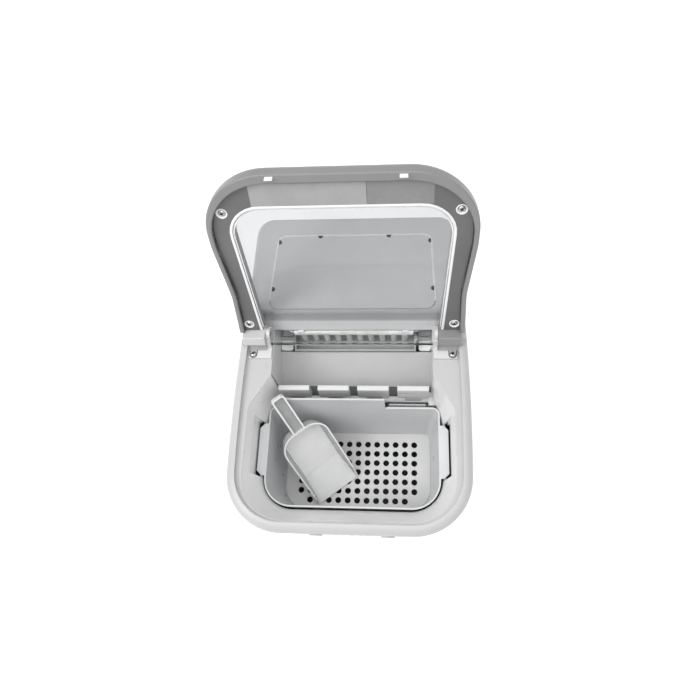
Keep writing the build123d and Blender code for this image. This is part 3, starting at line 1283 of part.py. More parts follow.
# Fan motor with its bracket on the shroud
motor_front = shroud_y - SHROUD_T
leg_x = FAN_R + LEG_GAP + LEG_T / 2
with BuildPart() as fan_motor:
    with BuildSketch(Plane.XZ.offset(MOTOR_BACK - motor_front)) as motor_section:
        with Locations((CONDENSER_X, CONDENSER_Z)):
            Circle(MOTOR_R)
    extrude(amount=MOTOR_LENGTH)
    with BuildSketch(Plane.XZ.offset(BRACKET_BACK - motor_front)) as bracket_bar:
        with Locations((CONDENSER_X, CONDENSER_Z)):
            Rectangle(2 * leg_x + LEG_T, BRACKET_HEIGHT)
    extrude(amount=BRACKET_BAR_T)
    with BuildSketch(Plane.XZ.offset(-motor_front)) as bracket_legs:
        with Locations((CONDENSER_X - leg_x, CONDENSER_Z), (CONDENSER_X + leg_x, CONDENSER_Z)):
            Rectangle(LEG_T, BRACKET_HEIGHT)
    extrude(amount=BRACKET_BACK)
    with BuildSketch(Plane.XZ.offset(SHAFT_BACK - motor_front)) as motor_shaft:
        with Locations((CONDENSER_X, CONDENSER_Z)):
            Circle(SHAFT_R)
    extrude(amount=MOTOR_BACK - SHAFT_BACK)
fan_motor.part.label = "fan_motor"
export_step(fan_motor.part, "parts/fan_motor.step")

# Fan blade: hub with five pitched blades
hub_y = motor_front - FAN_BACK - HUB_T / 2
blade_length = FAN_R - HUB_R
with BuildPart() as fan_blade:
    with Locations(Location((CONDENSER_X, hub_y, CONDENSER_Z), (90, 0, 0))):
        Cylinder(HUB_R, HUB_T)
        with PolarLocations(HUB_R + blade_length / 2 - BLADE_ROOT, BLADE_COUNT):
            Box(blade_length, BLADE_WIDTH, BLADE_T, rotation=(BLADE_PITCH, 0, 0))
        Cylinder(SHAFT_R + RUNNING_GAP, 2 * HUB_T, mode=Mode.SUBTRACT)
fan_blade.part.label = "fan_blade"
export_step(fan_blade.part, "parts/fan_blade.step")

# Filter drier: small can in the liquid line
with BuildPart() as filter_drier:
    with BuildSketch(Plane.XY.offset(DRIER_Z)) as drier_section:
        with Locations((DRIER_X, DRIER_Y)):
            Circle(DRIER_R)
    extrude(amount=DRIER_LENGTH)
    fillet(filter_drier.edges(), DRIER_R / 2)
filter_drier.part.label = "filter_drier"
export_step(filter_drier.part, "parts/filter_drier.step")

# Refrigerant pipes: bent tubes between compressor, condenser, drier and evaporator
tube_high = CONDENSER_Z + tube_pitch * (TUBE_COUNT - 1) / 2
tube_low = CONDENSER_Z - tube_pitch * (TUBE_COUNT - 1) / 2
condenser_left = CONDENSER_X - CONDENSER_WIDTH / 2
condenser_right = CONDENSER_X + CONDENSER_WIDTH / 2
header_out = HEADER_HALF + HEADER_TAIL
suction_x = COMPRESSOR_X - PORT_X
suction_y = COMPRESSOR_Y + SUCTION_PORT_Y
discharge_x = COMPRESSOR_X + PORT_X
discharge_y = COMPRESSOR_Y + DISCHARGE_PORT_Y
crossing_x = condenser_left - DISCHARGE_OUT
crossing_z = COMPRESSOR_TOP + DISCHARGE_RISE
port_z = COMPRESSOR_TOP - PORT_DEPTH
riser_x = condenser_right + LIQUID_OUT
riser_z = DRIER_Z - DRIER_DROP
pipe_routes = {
    "suction_pipe": [
        (-HEADER_HALF, FINGER_Y, HEADER_Z),
        (-header_out, FINGER_Y, HEADER_Z),
        (-header_out, suction_y, HEADER_Z),
        (suction_x, suction_y, HEADER_Z - SUCTION_FALL),
        (suction_x, suction_y, port_z),
    ],
    "discharge_pipe": [
        (discharge_x, discharge_y, port_z),
        (discharge_x, discharge_y, crossing_z),
        (crossing_x, CONDENSER_Y, crossing_z),
        (crossing_x, CONDENSER_Y, tube_high),
        (condenser_left, CONDENSER_Y, tube_high),
    ],
    "liquid_pipe": [
        (condenser_right, CONDENSER_Y, tube_low),
        (riser_x, CONDENSER_Y, tube_low),
        (riser_x, CONDENSER_Y, riser_z),
        (DRIER_X, DRIER_Y, riser_z),
        (DRIER_X, DRIER_Y, DRIER_Z),
    ],
    "capillary_pipe": [
        (DRIER_X, DRIER_Y, DRIER_Z + DRIER_LENGTH),
        (DRIER_X, DRIER_Y, HEADER_Z),
        (header_out, DRIER_Y - CAPILLARY_STEP, HEADER_Z),
        (header_out, FINGER_Y, HEADER_Z),
        (HEADER_HALF, FINGER_Y, HEADER_Z),
    ],
}
for name, route in pipe_routes.items():
    with BuildPart() as pipe:
        with BuildLine() as pipe_line:
            FilletPolyline(*route, radius=LIQUID_BEND if name == "liquid_pipe" else PIPE_BEND)
        with BuildSketch(Plane(origin=pipe_line.line @ 0, z_dir=pipe_line.line % 0)) as pipe_section:
            Circle(CAPILLARY_R if name == "capillary_pipe" else PIPE_R)
        sweep()
        add(compressor.part, mode=Mode.SUBTRACT)
    pipe.part.label = name
    export_step(pipe.part, f"parts/{name}.step")

# Water pump: stands on the pan, its inlet under the tub
with BuildPart() as water_pump:
    with BuildSketch(Plane.XY.offset(pan_top)) as pump_section:
        with Locations((PUMP_X, PUMP_Y)):
            Circle(PUMP_R)
    extrude(amount=PUMP_TOP - pan_top)
    fillet(water_pump.edges().group_by(Axis.Z)[-1], PUMP_ROUND)
    with BuildSketch(Plane.XY.offset(PUMP_TOP)) as pump_inlet:
        with Locations((PUMP_X, PUMP_Y)):
            Circle(PUMP_INLET_R)
    extrude(amount=TUB_FLOOR - TUB_WALL - PUMP_TOP)
    with BuildSketch(Plane.YZ.offset(PUMP_X)) as pump_outlet:
        with Locations((PUMP_Y, PUMP_OUT_Z)):
            Circle(HOSE_R)
    extrude(amount=-PUMP_R - PUMP_OUT_REACH)
water_pump.part.label = "water_pump"
export_step(water_pump.part, "parts/water_pump.step")

# Water hose: from the pump up the left side and through the chamber's wall to the tray
hose_x = CHAMBER_HALF + TUB_WALL + HOSE_STANDOFF
with BuildPart() as water_hose:
    with BuildLine() as hose_line:
        FilletPolyline(
            (PUMP_X - PUMP_R - PUMP_OUT_REACH, PUMP_Y, PUMP_OUT_Z),
            (-hose_x, PUMP_Y, PUMP_OUT_Z),
            (-hose_x, hose_y, PUMP_OUT_Z),
            (-hose_x, hose_y, hose_z),
            (HOSE_LAP - TRAY_HALF, hose_y, hose_z),
            radius=HOSE_BEND,
        )
    with BuildSketch(Plane(origin=hose_line.line @ 0, z_dir=hose_line.line % 0)) as hose_section:
        Circle(HOSE_R)
    sweep()
water_hose.part.label = "water_hose"
export_step(water_hose.part, "parts/water_hose.step")

# Drain spout: elbow from the tub's floor to the right side panel
drain_end = MIDDLE_HALF - (SHOULDER_Z - DRAIN_Z) * tan(radians(SIDE_LEAN)) - DRAIN_INSET
with BuildPart() as drain_spout:
    with BuildSketch(Plane.XY.offset(DRAIN_Z)) as drain_drop:
        with Locations((DRAIN_X, DRAIN_Y)):
            Circle(DRAIN_R - SEAT_GAP)
    extrude(amount=TUB_FLOOR - TUB_WALL - DRAIN_Z)
    with BuildSketch(Plane.YZ.offset(DRAIN_X - DRAIN_R)) as drain_run:
        with Locations((DRAIN_Y, DRAIN_Z)):
            Circle(DRAIN_R - SEAT_GAP)
    extrude(amount=drain_end - DRAIN_X + DRAIN_R)
    with BuildSketch(Plane.YZ.offset(DRAIN_X)) as drain_bore:
        with Locations((DRAIN_Y, DRAIN_Z)):
            Circle(DRAIN_BORE)
    extrude(amount=drain_end - DRAIN_X, mode=Mode.SUBTRACT)
drain_spout.part.label = "drain_spout"
export_step(drain_spout.part, "parts/drain_spout.step")

# Drain plug: stopper in the spout
with BuildPart() as drain_plug:
    with BuildSketch(Plane.YZ.offset(drain_end)) as plug_head:
        with Locations((DRAIN_Y, DRAIN_Z)):
            Circle(DRAIN_R - 2 * SEAT_GAP)
    extrude(amount=PLUG_HEAD_T)
    with BuildSketch(Plane.YZ.offset(drain_end)) as plug_stem:
        with Locations((DRAIN_Y, DRAIN_Z)):
            Circle(DRAIN_BORE - SEAT_GAP)
    extrude(amount=-PLUG_STEM)
drain_plug.part.label = "drain_plug"
export_step(drain_plug.part, "parts/drain_plug.step")

# Control fascia: plate in the front shell's cut-out, flange behind it, posts for the board
with BuildPart() as control_fascia:
    with BuildSketch(front_plane) as fascia_face:
        RectangleRounded(FASCIA_WIDTH - 2 * SEAT_GAP, FASCIA_HEIGHT - 2 * SEAT_GAP, FASCIA_CORNER_R - SEAT_GAP)
    extrude(amount=-WALL - FLANGE_T)
    with BuildSketch(front_plane.offset(-WALL)) as fascia_flange:
        Rectangle(FASCIA_WIDTH + 2 * FLANGE_EDGE, FASCIA_HEIGHT + 2 * FLANGE_EDGE)
    extrude(amount=-FLANGE_T)
    with BuildSketch(front_plane.offset(-WALL - FLANGE_T)) as board_posts:
        with GridLocations(FASCIA_WIDTH - 2 * POST_SIDE_INSET, FASCIA_HEIGHT - 2 * POST_TOP_INSET, 2, 2):
            Circle(POST_R)
    extrude(amount=-BOARD_DEPTH + WALL + FLANGE_T)
    with BuildSketch(front_plane) as fascia_holes:
        with Locations((-BUTTON_X, 0), (BUTTON_X, 0)):
            Circle(BUTTON_R + SEAT_GAP)
        with GridLocations(LENS_PITCH, 1, LENS_COUNT, 1):
            Circle(LENS_R)
    extrude(amount=-WALL - FLANGE_T, mode=Mode.SUBTRACT)
control_fascia.part.label = "control_fascia"
export_step(control_fascia.part, "parts/control_fascia.step")

# Buttons: caps through the fascia with a keeper behind it
for x, name in ((-BUTTON_X, "power_button"), (BUTTON_X, "size_button")):
    with BuildPart() as button:
        with BuildSketch(front_plane.offset(BUTTON_PROUD)) as cap:
            with Locations((x, 0)):
                Circle(BUTTON_R)
        extrude(amount=-BUTTON_PROUD - WALL - FLANGE_T - SEAT_GAP)
        with BuildSketch(front_plane.offset(-WALL - FLANGE_T - SEAT_GAP)) as keeper:
            with Locations((x, 0)):
                Circle(BUTTON_R + KEEPER_EDGE)
        extrude(amount=-KEEPER_T)
        with BuildSketch(front_plane.offset(BUTTON_PROUD)) as dimple:
            with Locations((x, 0)):
                Circle(BUTTON_R - DIMPLE_EDGE)
        extrude(amount=-DIMPLE_T, mode=Mode.SUBTRACT)
    button.part.label = name
    export_step(button.part, f"parts/{name}.step")

# Indicator lenses: row of light pipes in the fascia
with BuildPart() as indicator_lenses:
    with BuildSketch(front_plane.offset(SEAT_GAP)) as lenses:
        with GridLocations(LENS_PITCH, 1, LENS_COUNT, 1):
            Circle(LENS_R)
    extrude(amount=-SEAT_GAP - WALL - FLANGE_T)
indicator_lenses.part.label = "indicator_lenses"
export_step(indicator_lenses.part, "parts/indicator_lenses.step")

# Control board on the fascia's posts
with BuildPart() as control_board:
    with BuildSketch(front_plane.offset(-BOARD_DEPTH)) as board:
        Rectangle(FASCIA_WIDTH - 2 * BOARD_SIDE_INSET, FASCIA_HEIGHT - 2 * BOARD_TOP_INSET)
    extrude(amount=-BOARD_T)
control_board.part.label = "control_board"
export_step(control_board.part, "parts/control_board.step")
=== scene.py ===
import math

import bmesh
import bpy
from mathutils import Matrix, Vector


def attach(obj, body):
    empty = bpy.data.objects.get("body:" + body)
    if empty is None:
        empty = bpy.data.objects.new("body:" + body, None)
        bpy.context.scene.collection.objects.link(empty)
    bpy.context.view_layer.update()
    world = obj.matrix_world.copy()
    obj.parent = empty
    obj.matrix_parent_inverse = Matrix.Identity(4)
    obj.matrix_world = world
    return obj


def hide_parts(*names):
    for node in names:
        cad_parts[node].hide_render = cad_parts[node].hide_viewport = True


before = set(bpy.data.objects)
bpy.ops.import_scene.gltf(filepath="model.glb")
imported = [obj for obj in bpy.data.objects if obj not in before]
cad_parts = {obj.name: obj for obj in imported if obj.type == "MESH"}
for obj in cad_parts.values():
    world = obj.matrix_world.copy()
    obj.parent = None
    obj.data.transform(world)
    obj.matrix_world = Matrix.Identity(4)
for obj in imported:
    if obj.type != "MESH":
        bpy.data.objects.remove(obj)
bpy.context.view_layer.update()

# Base pan: a shallow tray pressed from galvanised sheet, to which everything else is screwed.
# The zinc shows its crystal spangle, dull wiped patches and brighter metal along the folded edges.
SPANGLE_SCALE = 160.0
SPANGLE_STRENGTH = 0.3
PATCH_SCALE = 14.0
PATCH_DETAIL = 5.0
PATCH_CONTRAST = 0.55
PATCH_SPREAD = (0.32, 0.62)
GRAIN_SCALE = 1800.0
GRAIN_DETAIL = 3.0
GRAIN_DEPTH = 0.0004
WIPE_STRETCH = (9.0, 60.0, 42.0)
WIPE_TURN = (0.5, 0.3, 0.7)
WIPE_DETAIL = 6.0
WIPE_SPREAD = (0.3, 0.7)
EDGE_WIDTH = 0.0008
EDGE_SAMPLES = 4
EDGE_FADE = (0.98, 0.8)
SHARP_ANGLE = math.radians(32)


def linear(grey):
    """Linear value of an 8-bit display value."""
    tone = grey / 255.0
    return tone / 12.92 if tone <= 0.04045 else ((tone + 0.055) / 1.055) ** 2.4


def tint(red, green, blue):
    """Linear colour of an 8-bit display colour."""
    return (linear(red), linear(green), linear(blue), 1.0)


def remap(tree, value, span, result=(0.0, 1.0)):
    """Maps a span of values to a span of results."""
    node = tree.nodes.new("ShaderNodeMapRange")
    for socket, number in zip(("From Min", "From Max", "To Min", "To Max"), (*span, *result)):
        node.inputs[socket].default_value = number
    tree.links.new(value, node.inputs["Value"])
    return node.outputs["Result"]


surface_marks = bpy.data.node_groups.new("surface_marks", "ShaderNodeTree")
for socket, preset in (
    ("Patch scale", PATCH_SCALE), ("Grain scale", GRAIN_SCALE), ("Edge width", EDGE_WIDTH),
):
    entry = surface_marks.interface.new_socket(name=socket, in_out="INPUT", socket_type="NodeSocketFloat")
    entry.default_value = preset
for socket in ("Patches", "Grain", "Wipes", "Edges"):
    surface_marks.interface.new_socket(name=socket, in_out="OUTPUT", socket_type="NodeSocketFloat")
surface_marks.interface.new_socket(name="Soft normal", in_out="OUTPUT", socket_type="NodeSocketVector")
marks_in = surface_marks.nodes.new("NodeGroupInput")
marks_out = surface_marks.nodes.new("NodeGroupOutput")
marks_place = surface_marks.nodes.new("ShaderNodeTexCoord")
patch_noise = surface_marks.nodes.new("ShaderNodeTexNoise")
patch_noise.inputs["Detail"].default_value = PATCH_DETAIL
patch_noise.inputs["Roughness"].default_value = PATCH_CONTRAST
grain_noise = surface_marks.nodes.new("ShaderNodeTexNoise")
grain_noise.inputs["Detail"].default_value = GRAIN_DETAIL
wipe_stretch = surface_marks.nodes.new("ShaderNodeMapping")
wipe_stretch.inputs["Scale"].default_value = WIPE_STRETCH
wipe_stretch.inputs["Rotation"].default_value = WIPE_TURN
wipe_noise = surface_marks.nodes.new("ShaderNodeTexNoise")
wipe_noise.inputs["Scale"].default_value = 1.0
wipe_noise.inputs["Detail"].default_value = WIPE_DETAIL
# Edges: a mask along the rims, used for worn metal and rubber and for painted highlights on plastic.
edge_round = surface_marks.nodes.new("ShaderNodeBevel")
edge_round.samples = EDGE_SAMPLES
edge_face = surface_marks.nodes.new("ShaderNodeNewGeometry")
edge_turn = surface_marks.nodes.new("ShaderNodeVectorMath")
edge_turn.operation = "DOT_PRODUCT"
edge_mask = remap(surface_marks, edge_turn.outputs["Value"], EDGE_FADE)
for source, target in (
    (marks_place.outputs["Object"], patch_noise.inputs["Vector"]),
    (marks_place.outputs["Object"], grain_noise.inputs["Vector"]),
    (marks_place.outputs["Object"], wipe_stretch.inputs["Vector"]),
    (wipe_stretch.outputs["Vector"], wipe_noise.inputs["Vector"]),
    (marks_in.outputs["Patch scale"], patch_noise.inputs["Scale"]),
    (marks_in.outputs["Grain scale"], grain_noise.inputs["Scale"]),
    (marks_in.outputs["Edge width"], edge_round.inputs["Radius"]),
    (edge_round.outputs["Normal"], edge_turn.inputs[0]),
    (edge_face.outputs["Normal"], edge_turn.inputs[1]),
    (patch_noise.outputs["Fac"], marks_out.inputs["Patches"]),
    (grain_noise.outputs["Fac"], marks_out.inputs["Grain"]),
    (wipe_noise.outputs["Fac"], marks_out.inputs["Wipes"]),
    (edge_mask, marks_out.inputs["Edges"]),
    (edge_round.outputs["Normal"], marks_out.inputs["Soft normal"]),
):
    surface_marks.links.new(source, target)


def finish_material(
    name, colour, shade, rough, grain, patch_scale=PATCH_SCALE, grain_scale=GRAIN_SCALE,
    edge=None, edge_width=EDGE_WIDTH, **plain,
):
    """Finish of two close colours in soft patches, with wiped gloss, fine grain and perhaps a paler edge,
    worn on metal and rubber and a painted highlight on plastic.
    """
    material = bpy.data.materials.new(name)
    material.use_nodes = True
    tree = material.node_tree
    shader = tree.nodes["Principled BSDF"]
    marks = tree.nodes.new("ShaderNodeGroup")
    marks.node_tree = surface_marks
    marks.inputs["Patch scale"].default_value = patch_scale
    marks.inputs["Grain scale"].default_value = grain_scale
    marks.inputs["Edge width"].default_value = edge_width
    blend = tree.nodes.new("ShaderNodeMix")
    blend.data_type = "RGBA"
    blend.inputs["A"].default_value = shade
    blend.inputs["B"].default_value = colour
    tree.links.new(remap(tree, marks.outputs["Patches"], PATCH_SPREAD), blend.inputs["Factor"])
    tree.links.new(blend.outputs["Result"], shader.inputs["Base Color"])
    tree.links.new(remap(tree, marks.outputs["Wipes"], WIPE_SPREAD, rough), shader.inputs["Roughness"])
    bump = tree.nodes.new("ShaderNodeBump")
    bump.inputs["Strength"].default_value = grain
    bump.inputs["Distance"].default_value = GRAIN_DEPTH
    tree.links.new(marks.outputs["Grain"], bump.inputs["Height"])
    tree.links.new(bump.outputs["Normal"], shader.inputs["Normal"])
    if edge is not None:
        tree.links.new(marks.outputs["Soft normal"], bump.inputs["Normal"])
        overlay(material, edge, marks.outputs["Edges"])
    for socket, value in plain.items():
        shader.inputs[socket.replace("_", " ")].default_value = value
    return material


def overlay(material, colour, mask):
    """Lays a second colour over a finish where the mask is 1."""
    tree = material.node_tree
    base = tree.nodes["Principled BSDF"].inputs["Base Color"]
    over = tree.nodes.new("ShaderNodeMix")
    over.data_type = "RGBA"
    tree.links.new(base.links[0].from_socket, over.inputs["A"])
    over.inputs["B"].default_value = colour
    tree.links.new(mask, over.inputs["Factor"])
    tree.links.new(over.outputs["Result"], base)


def smooth(mesh):
    """Shades a mesh smooth over its curves and crisp at its edges."""
    mesh.shade_smooth()
    mesh.set_sharp_from_angle(angle=SHARP_ANGLE)


def dress(material, *nodes):
    """Puts a finish on CAD pieces."""
    for node in nodes:
        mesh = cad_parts[node].data
        mesh.materials.clear()
        mesh.materials.append(material)
        smooth(mesh)


zinc = finish_material(
    "galvanised_sheet", tint(196, 199, 202), tint(168, 172, 176),
    rough=(0.28, 0.5), grain=0.12, patch_scale=70.0, edge=tint(214, 216, 218), Metallic=1.0,
)
zinc_tree = zinc.node_tree
zinc_base = zinc_tree.nodes["Principled BSDF"].inputs["Base Color"]
spangle_place = zinc_tree.nodes.new("ShaderNodeTexCoord")
spangle = zinc_tree.nodes.new("ShaderNodeTexVoronoi")
spangle.inputs["Scale"].default_value = SPANGLE_SCALE
spangle_grey = zinc_tree.nodes.new("ShaderNodeRGBToBW")
spangle_mix = zinc_tree.nodes.new("ShaderNodeMix")
spangle_mix.data_type = "RGBA"
spangle_mix.blend_type = "SOFT_LIGHT"
spangle_mix.inputs["Factor"].default_value = SPANGLE_STRENGTH
zinc_tree.links.new(spangle_place.outputs["Object"], spangle.inputs["Vector"])
zinc_tree.links.new(spangle.outputs["Color"], spangle_grey.inputs["Color"])
zinc_tree.links.new(zinc_base.links[0].from_socket, spangle_mix.inputs["A"])
zinc_tree.links.new(spangle_grey.outputs["Val"], spangle_mix.inputs["B"])
zinc_tree.links.new(spangle_mix.outputs["Result"], zinc_base)
dress(zinc, "base_pan")

# Feet: four black rubber pads plugged into the pan from below.
# The rubber is matt, with a bloom of dust and paler scuffed edges where they slide on the counter.
rubber = finish_material(
    "moulded_rubber", tint(52, 52, 54), tint(38, 38, 40),
    rough=(0.62, 0.82), grain=0.3, patch_scale=40.0, edge=tint(78, 78, 79),
)
dress(rubber, "feet")

# Compressor and its mounts: a welded steel can sprayed black, on three rubber bushes.
# The paint is thin and half gloss, with orange peel from the spray and bare steel on the sharp edges.
can_paint = finish_material(
    "compressor_paint", tint(34, 34, 36), tint(26, 26, 28),
    rough=(0.25, 0.4), grain=0.25, grain_scale=420.0, edge=tint(84, 84, 86), Coat_Weight=0.3,
)
dress(can_paint, "compressor")
dress(rubber, "compressor_mounts")

# Condenser: thin aluminium fins pressed on straight tubes, standing behind the fan shroud.
# The fins are mill finish, drawn along their height, and dusty between the wiped patches.
fin_metal = finish_material(
    "mill_aluminium", tint(205, 207, 209), tint(172, 174, 177),
    rough=(0.3, 0.48), grain=0.2, patch_scale=60.0, grain_scale=900.0, edge=tint(222, 223, 225), Metallic=1.0,
)
dress(fin_metal, "condenser")

# Fan, motor and shroud: a galvanised plate that carries the motor's bracket, with a black moulded fan.
# The fan's plastic is glass filled, so it is dull and slightly mottled.
filled_plastic = finish_material(
    "black_filled_plastic", tint(50, 51, 53), tint(40, 41, 43),
    rough=(0.42, 0.6), grain=0.35, edge=tint(70, 71, 73),
)
dress(zinc, "fan_shroud", "fan_motor")
dress(filled_plastic, "fan_blade")

# Refrigerant pipes and filter drier: soft drawn copper, brazed end to end.
# The torch has left the metal darker and browner in clouds, and the runs in the ice chamber are tinned grey.
TINNED_REAR = 0.076
TINNED_LOW = 0.2
TINNED_COLOUR = tint(186, 187, 186)


def coordinates(tree):
    """The object coordinates X, Y and Z as sockets of a material."""
    place = tree.nodes.new("ShaderNodeTexCoord")
    split = tree.nodes.new("ShaderNodeSeparateXYZ")
    tree.links.new(place.outputs["Object"], split.inputs["Vector"])
    return split.outputs


def maths(tree, operation, *values):
    """Result of a sum on sockets and plain numbers."""
    node = tree.nodes.new("ShaderNodeMath")
    node.operation = operation
    for socket, value in zip(node.inputs, values):
        if isinstance(value, bpy.types.NodeSocket):
            tree.links.new(value, socket)
        else:
            socket.default_value = value
    return node.outputs["Value"]


def inside_mask(material, *limits):
    """Mask that is 1 where each named coordinate is on the right side of its limit: (axis, test, limit)."""
    tree = material.node_tree
    place = coordinates(tree)
    mask = None
    for axis, operation, limit in limits:
        test = maths(tree, operation, place[axis], limit)
        mask = test if mask is None else maths(tree, "MULTIPLY", mask, test)
    return mask


copper = finish_material(
    "drawn_copper", tint(206, 140, 104), tint(150, 92, 62),
    rough=(0.22, 0.42), grain=0.1, patch_scale=55.0, Metallic=1.0,
)
tinning = inside_mask(copper, ("Y", "LESS_THAN", TINNED_REAR), ("Z", "GREATER_THAN", TINNED_LOW))
overlay(copper, TINNED_COLOUR, tinning)
dress(copper, "filter_drier", "suction_pipe", "discharge_pipe", "liquid_pipe", "capillary_pipe")

# Water side: black pump on the pan, milky silicone hose up to the tray, white drain spout with a rubber plug.
# The hose is pushed on the pump's nozzle and the plug is pressed into the spout.
hose_silicone = finish_material(
    "hose_silicone", tint(226, 228, 228), tint(214, 216, 217), rough=(0.3, 0.4), grain=0.05, patch_scale=30.0
)
spout_plastic = finish_material(
    "white_spout_plastic", tint(228, 228, 227), tint(220, 220, 220),
    rough=(0.3, 0.42), grain=0.1, edge=tint(236, 236, 236),
)
dress(filled_plastic, "water_pump")
dress(hose_silicone, "water_hose")
dress(spout_plastic, "drain_spout")
dress(rubber, "drain_plug")

# Inner tub: basket bay, water tank and chamber walls in one white moulding, clipped under the casing.
# The tank below the basket is painted near black as the shade that fills it, and the wall above it is satin
# white with soft clouds.
TANK_TOP = 0.1612
TANK_REAR = -0.034
TANK_SHADE_COLOUR = tint(18, 18, 19)
tub_plastic = finish_material(
    "white_tub_plastic", tint(226, 226, 226), tint(219, 219, 219),
    rough=(0.32, 0.44), grain=0.08, edge=tint(236, 236, 236),
)
# Painted shade: the tub is near black below the basket, where the tank lies in shadow.
tank_painted_shade = inside_mask(tub_plastic, ("Z", "LESS_THAN", TANK_TOP), ("Y", "LESS_THAN", TANK_REAR))
overlay(tub_plastic, TANK_SHADE_COLOUR, tank_painted_shade)
dress(tub_plastic, "inner_tub")

# Ice slide: a plain sloping panel, snapped in behind the shovel, down which the ice slips.
# Smooth pale plastic with faint streaks of meltwater in its gloss, painted grey at the foot as the shade
# behind the shovel.
SLIDE_FOOT = 0.2303
SLIDE_FOOT_SHADE = tint(104, 105, 106)
slide_plastic = finish_material(
    "pale_slide_plastic", tint(196, 196, 196), tint(186, 186, 186),
    rough=(0.26, 0.42), grain=0.06, edge=tint(230, 230, 230),
)
# Painted shade: the slide's foot is grey where it lies in shadow behind the paddles.
overlay(slide_plastic, SLIDE_FOOT_SHADE, inside_mask(slide_plastic, ("Z", "LESS_THAN", SLIDE_FOOT)))
dress(slide_plastic, "ice_slide")

# Evaporator: a copper header with ten hanging fingers, nickel plated and hung from two white clips.
# The plate is bright where it is wiped and dull grey where water has dried on it.
plate_nickel = finish_material(
    "nickel_plate", tint(232, 232, 231), tint(204, 204, 202),
    rough=(0.3, 0.46), grain=0.08, patch_scale=140.0, Metallic=0.35,
)
works_plastic = finish_material(
    "white_works_plastic", tint(247, 247, 247), tint(241, 241, 241),
    rough=(0.28, 0.4), grain=0.06, edge=tint(252, 252, 252),
)
dress(plate_nickel, "evaporator_header", "evaporator_fingers")
dress(works_plastic, "evaporator_clips")

# Water tray: a half-round trough under the fingers, turning in a white bush and in the gearbox.
# Smoke-grey plastic in soft clouds, and a white splash ledge on the chamber wall at each end.
LEDGE_X = (0.0700, 0.0836)
LEDGE_Y = (0.0312, 0.0610)
LEDGE_Z = 0.2525
LEDGE_T = 0.0016
LEDGE_CORNER = 0.003
CORNER_STEPS = 8
WELD = 1e-7
tray_plastic = finish_material(
    "smoke_grey_plastic", tint(176, 177, 178), tint(158, 159, 160),
    rough=(0.26, 0.42), grain=0.08, edge=tint(200, 200, 201),
)
dress(tray_plastic, "water_tray")
dress(works_plastic, "tray_bearing")


def put_in_scene(name, solid, materials):
    """Turns a bmesh into a dressed object in the scene."""
    mesh = bpy.data.meshes.new(name)
    solid.to_mesh(mesh)
    solid.free()
    for material in materials:
        mesh.materials.append(material)
    smooth(mesh)
    piece = bpy.data.objects.new(name, mesh)
    bpy.context.scene.collection.objects.link(piece)
    return piece


def make_piece(name, solid, material):
    """Welds a bmesh that was built face by face, and puts it in the scene."""
    bmesh.ops.remove_doubles(solid, verts=solid.verts, dist=WELD)
    bmesh.ops.recalc_face_normals(solid, faces=solid.faces)
    return put_in_scene(name, solid, (material,))


def add_plate(solid, outline, place, thickness):
    """Adds a plate to a bmesh: an outline of (x, y) points, put in the world by place(x, y, height)."""
    count = len(outline)
    base = [solid.verts.new(place(x, y, 0.0)) for x, y in outline]
    top = [solid.verts.new(place(x, y, thickness)) for x, y in outline]
    solid.faces.new(top)
    solid.faces.new(base[::-1])
    for i in range(count):
        j = (i + 1) % count
        solid.faces.new((base[i], base[j], top[j], top[i]))


def rounded_path(corners):
    """Points along straight runs with rounded corners, each given as (x, y, radius)."""
    points = []
    count = len(corners)
    for number, (x, y, radius) in enumerate(corners):
        corner = Vector((x, y))
        if not radius:
            points.append(corner)
            continue
        back = (Vector(corners[number - 1][:2]) - corner).normalized()
        ahead = (Vector(corners[(number + 1) % count][:2]) - corner).normalized()
        half = back.angle(ahead) / 2
        centre = corner + (back + ahead).normalized() * (radius / math.sin(half))
        first = corner + back * (radius / math.tan(half)) - centre
        last = corner + ahead * (radius / math.tan(half)) - centre
        turn = -first.angle_signed(last)
        for step in range(CORNER_STEPS + 1):
            points.append(centre + Matrix.Rotation(turn * step / CORNER_STEPS, 2) @ first)
    return points


def rectangle(across, along):
    """Corners of a rectangle between two values across and two along."""
    return ((across[0], along[0]), (across[1], along[0]), (across[1], along[1]), (across[0], along[1]))


def on_ledge(across, along, height):
    """Place on the level of the splash ledges."""
    return Vector((across, along, LEDGE_Z + height))


ledge_solid = bmesh.new()
for side in (-1, 1):
    ledge_path = rounded_path([(side * x, y, LEDGE_CORNER) for x, y in rectangle(LEDGE_X, LEDGE_Y)])
    add_plate(ledge_solid, ledge_path, on_ledge, LEDGE_T)
splash_ledges = make_piece("splash_ledges", ledge_solid, works_plastic)
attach(splash_ledges, "cabinet")

# Ice shovel: four pale paddles on one shaft, running in a block at each side of the bay.
# Glossy food-safe plastic with a painted highlight on its rounded edges. A grey guard with two ribs is fixed
# to the right block.
GUARD_X = (0.0360, 0.0800)
GUARD_Y = (-0.0284, -0.0218)
GUARD_Z = 0.2265
GUARD_T = 0.0015
GUARD_CORNER = 0.002
GUARD_RIBS = (-0.0268, -0.0233)
RIB_END = 0.0022
RIB_SIZE = (0.0017, 0.0014)
BEAD_STEPS = 8
guard_plastic = finish_material(
    "grey_guard_plastic", tint(128, 129, 130), tint(114, 115, 116),
    rough=(0.3, 0.42), grain=0.08, edge=tint(170, 170, 171),
)
shovel_plastic = finish_material(
    "pale_shovel_plastic", tint(222, 222, 222), tint(215, 215, 215),
    rough=(0.24, 0.34), grain=0.06, edge=tint(238, 238, 238),
)
dress(shovel_plastic, "ice_shovel", "shovel_bearings")


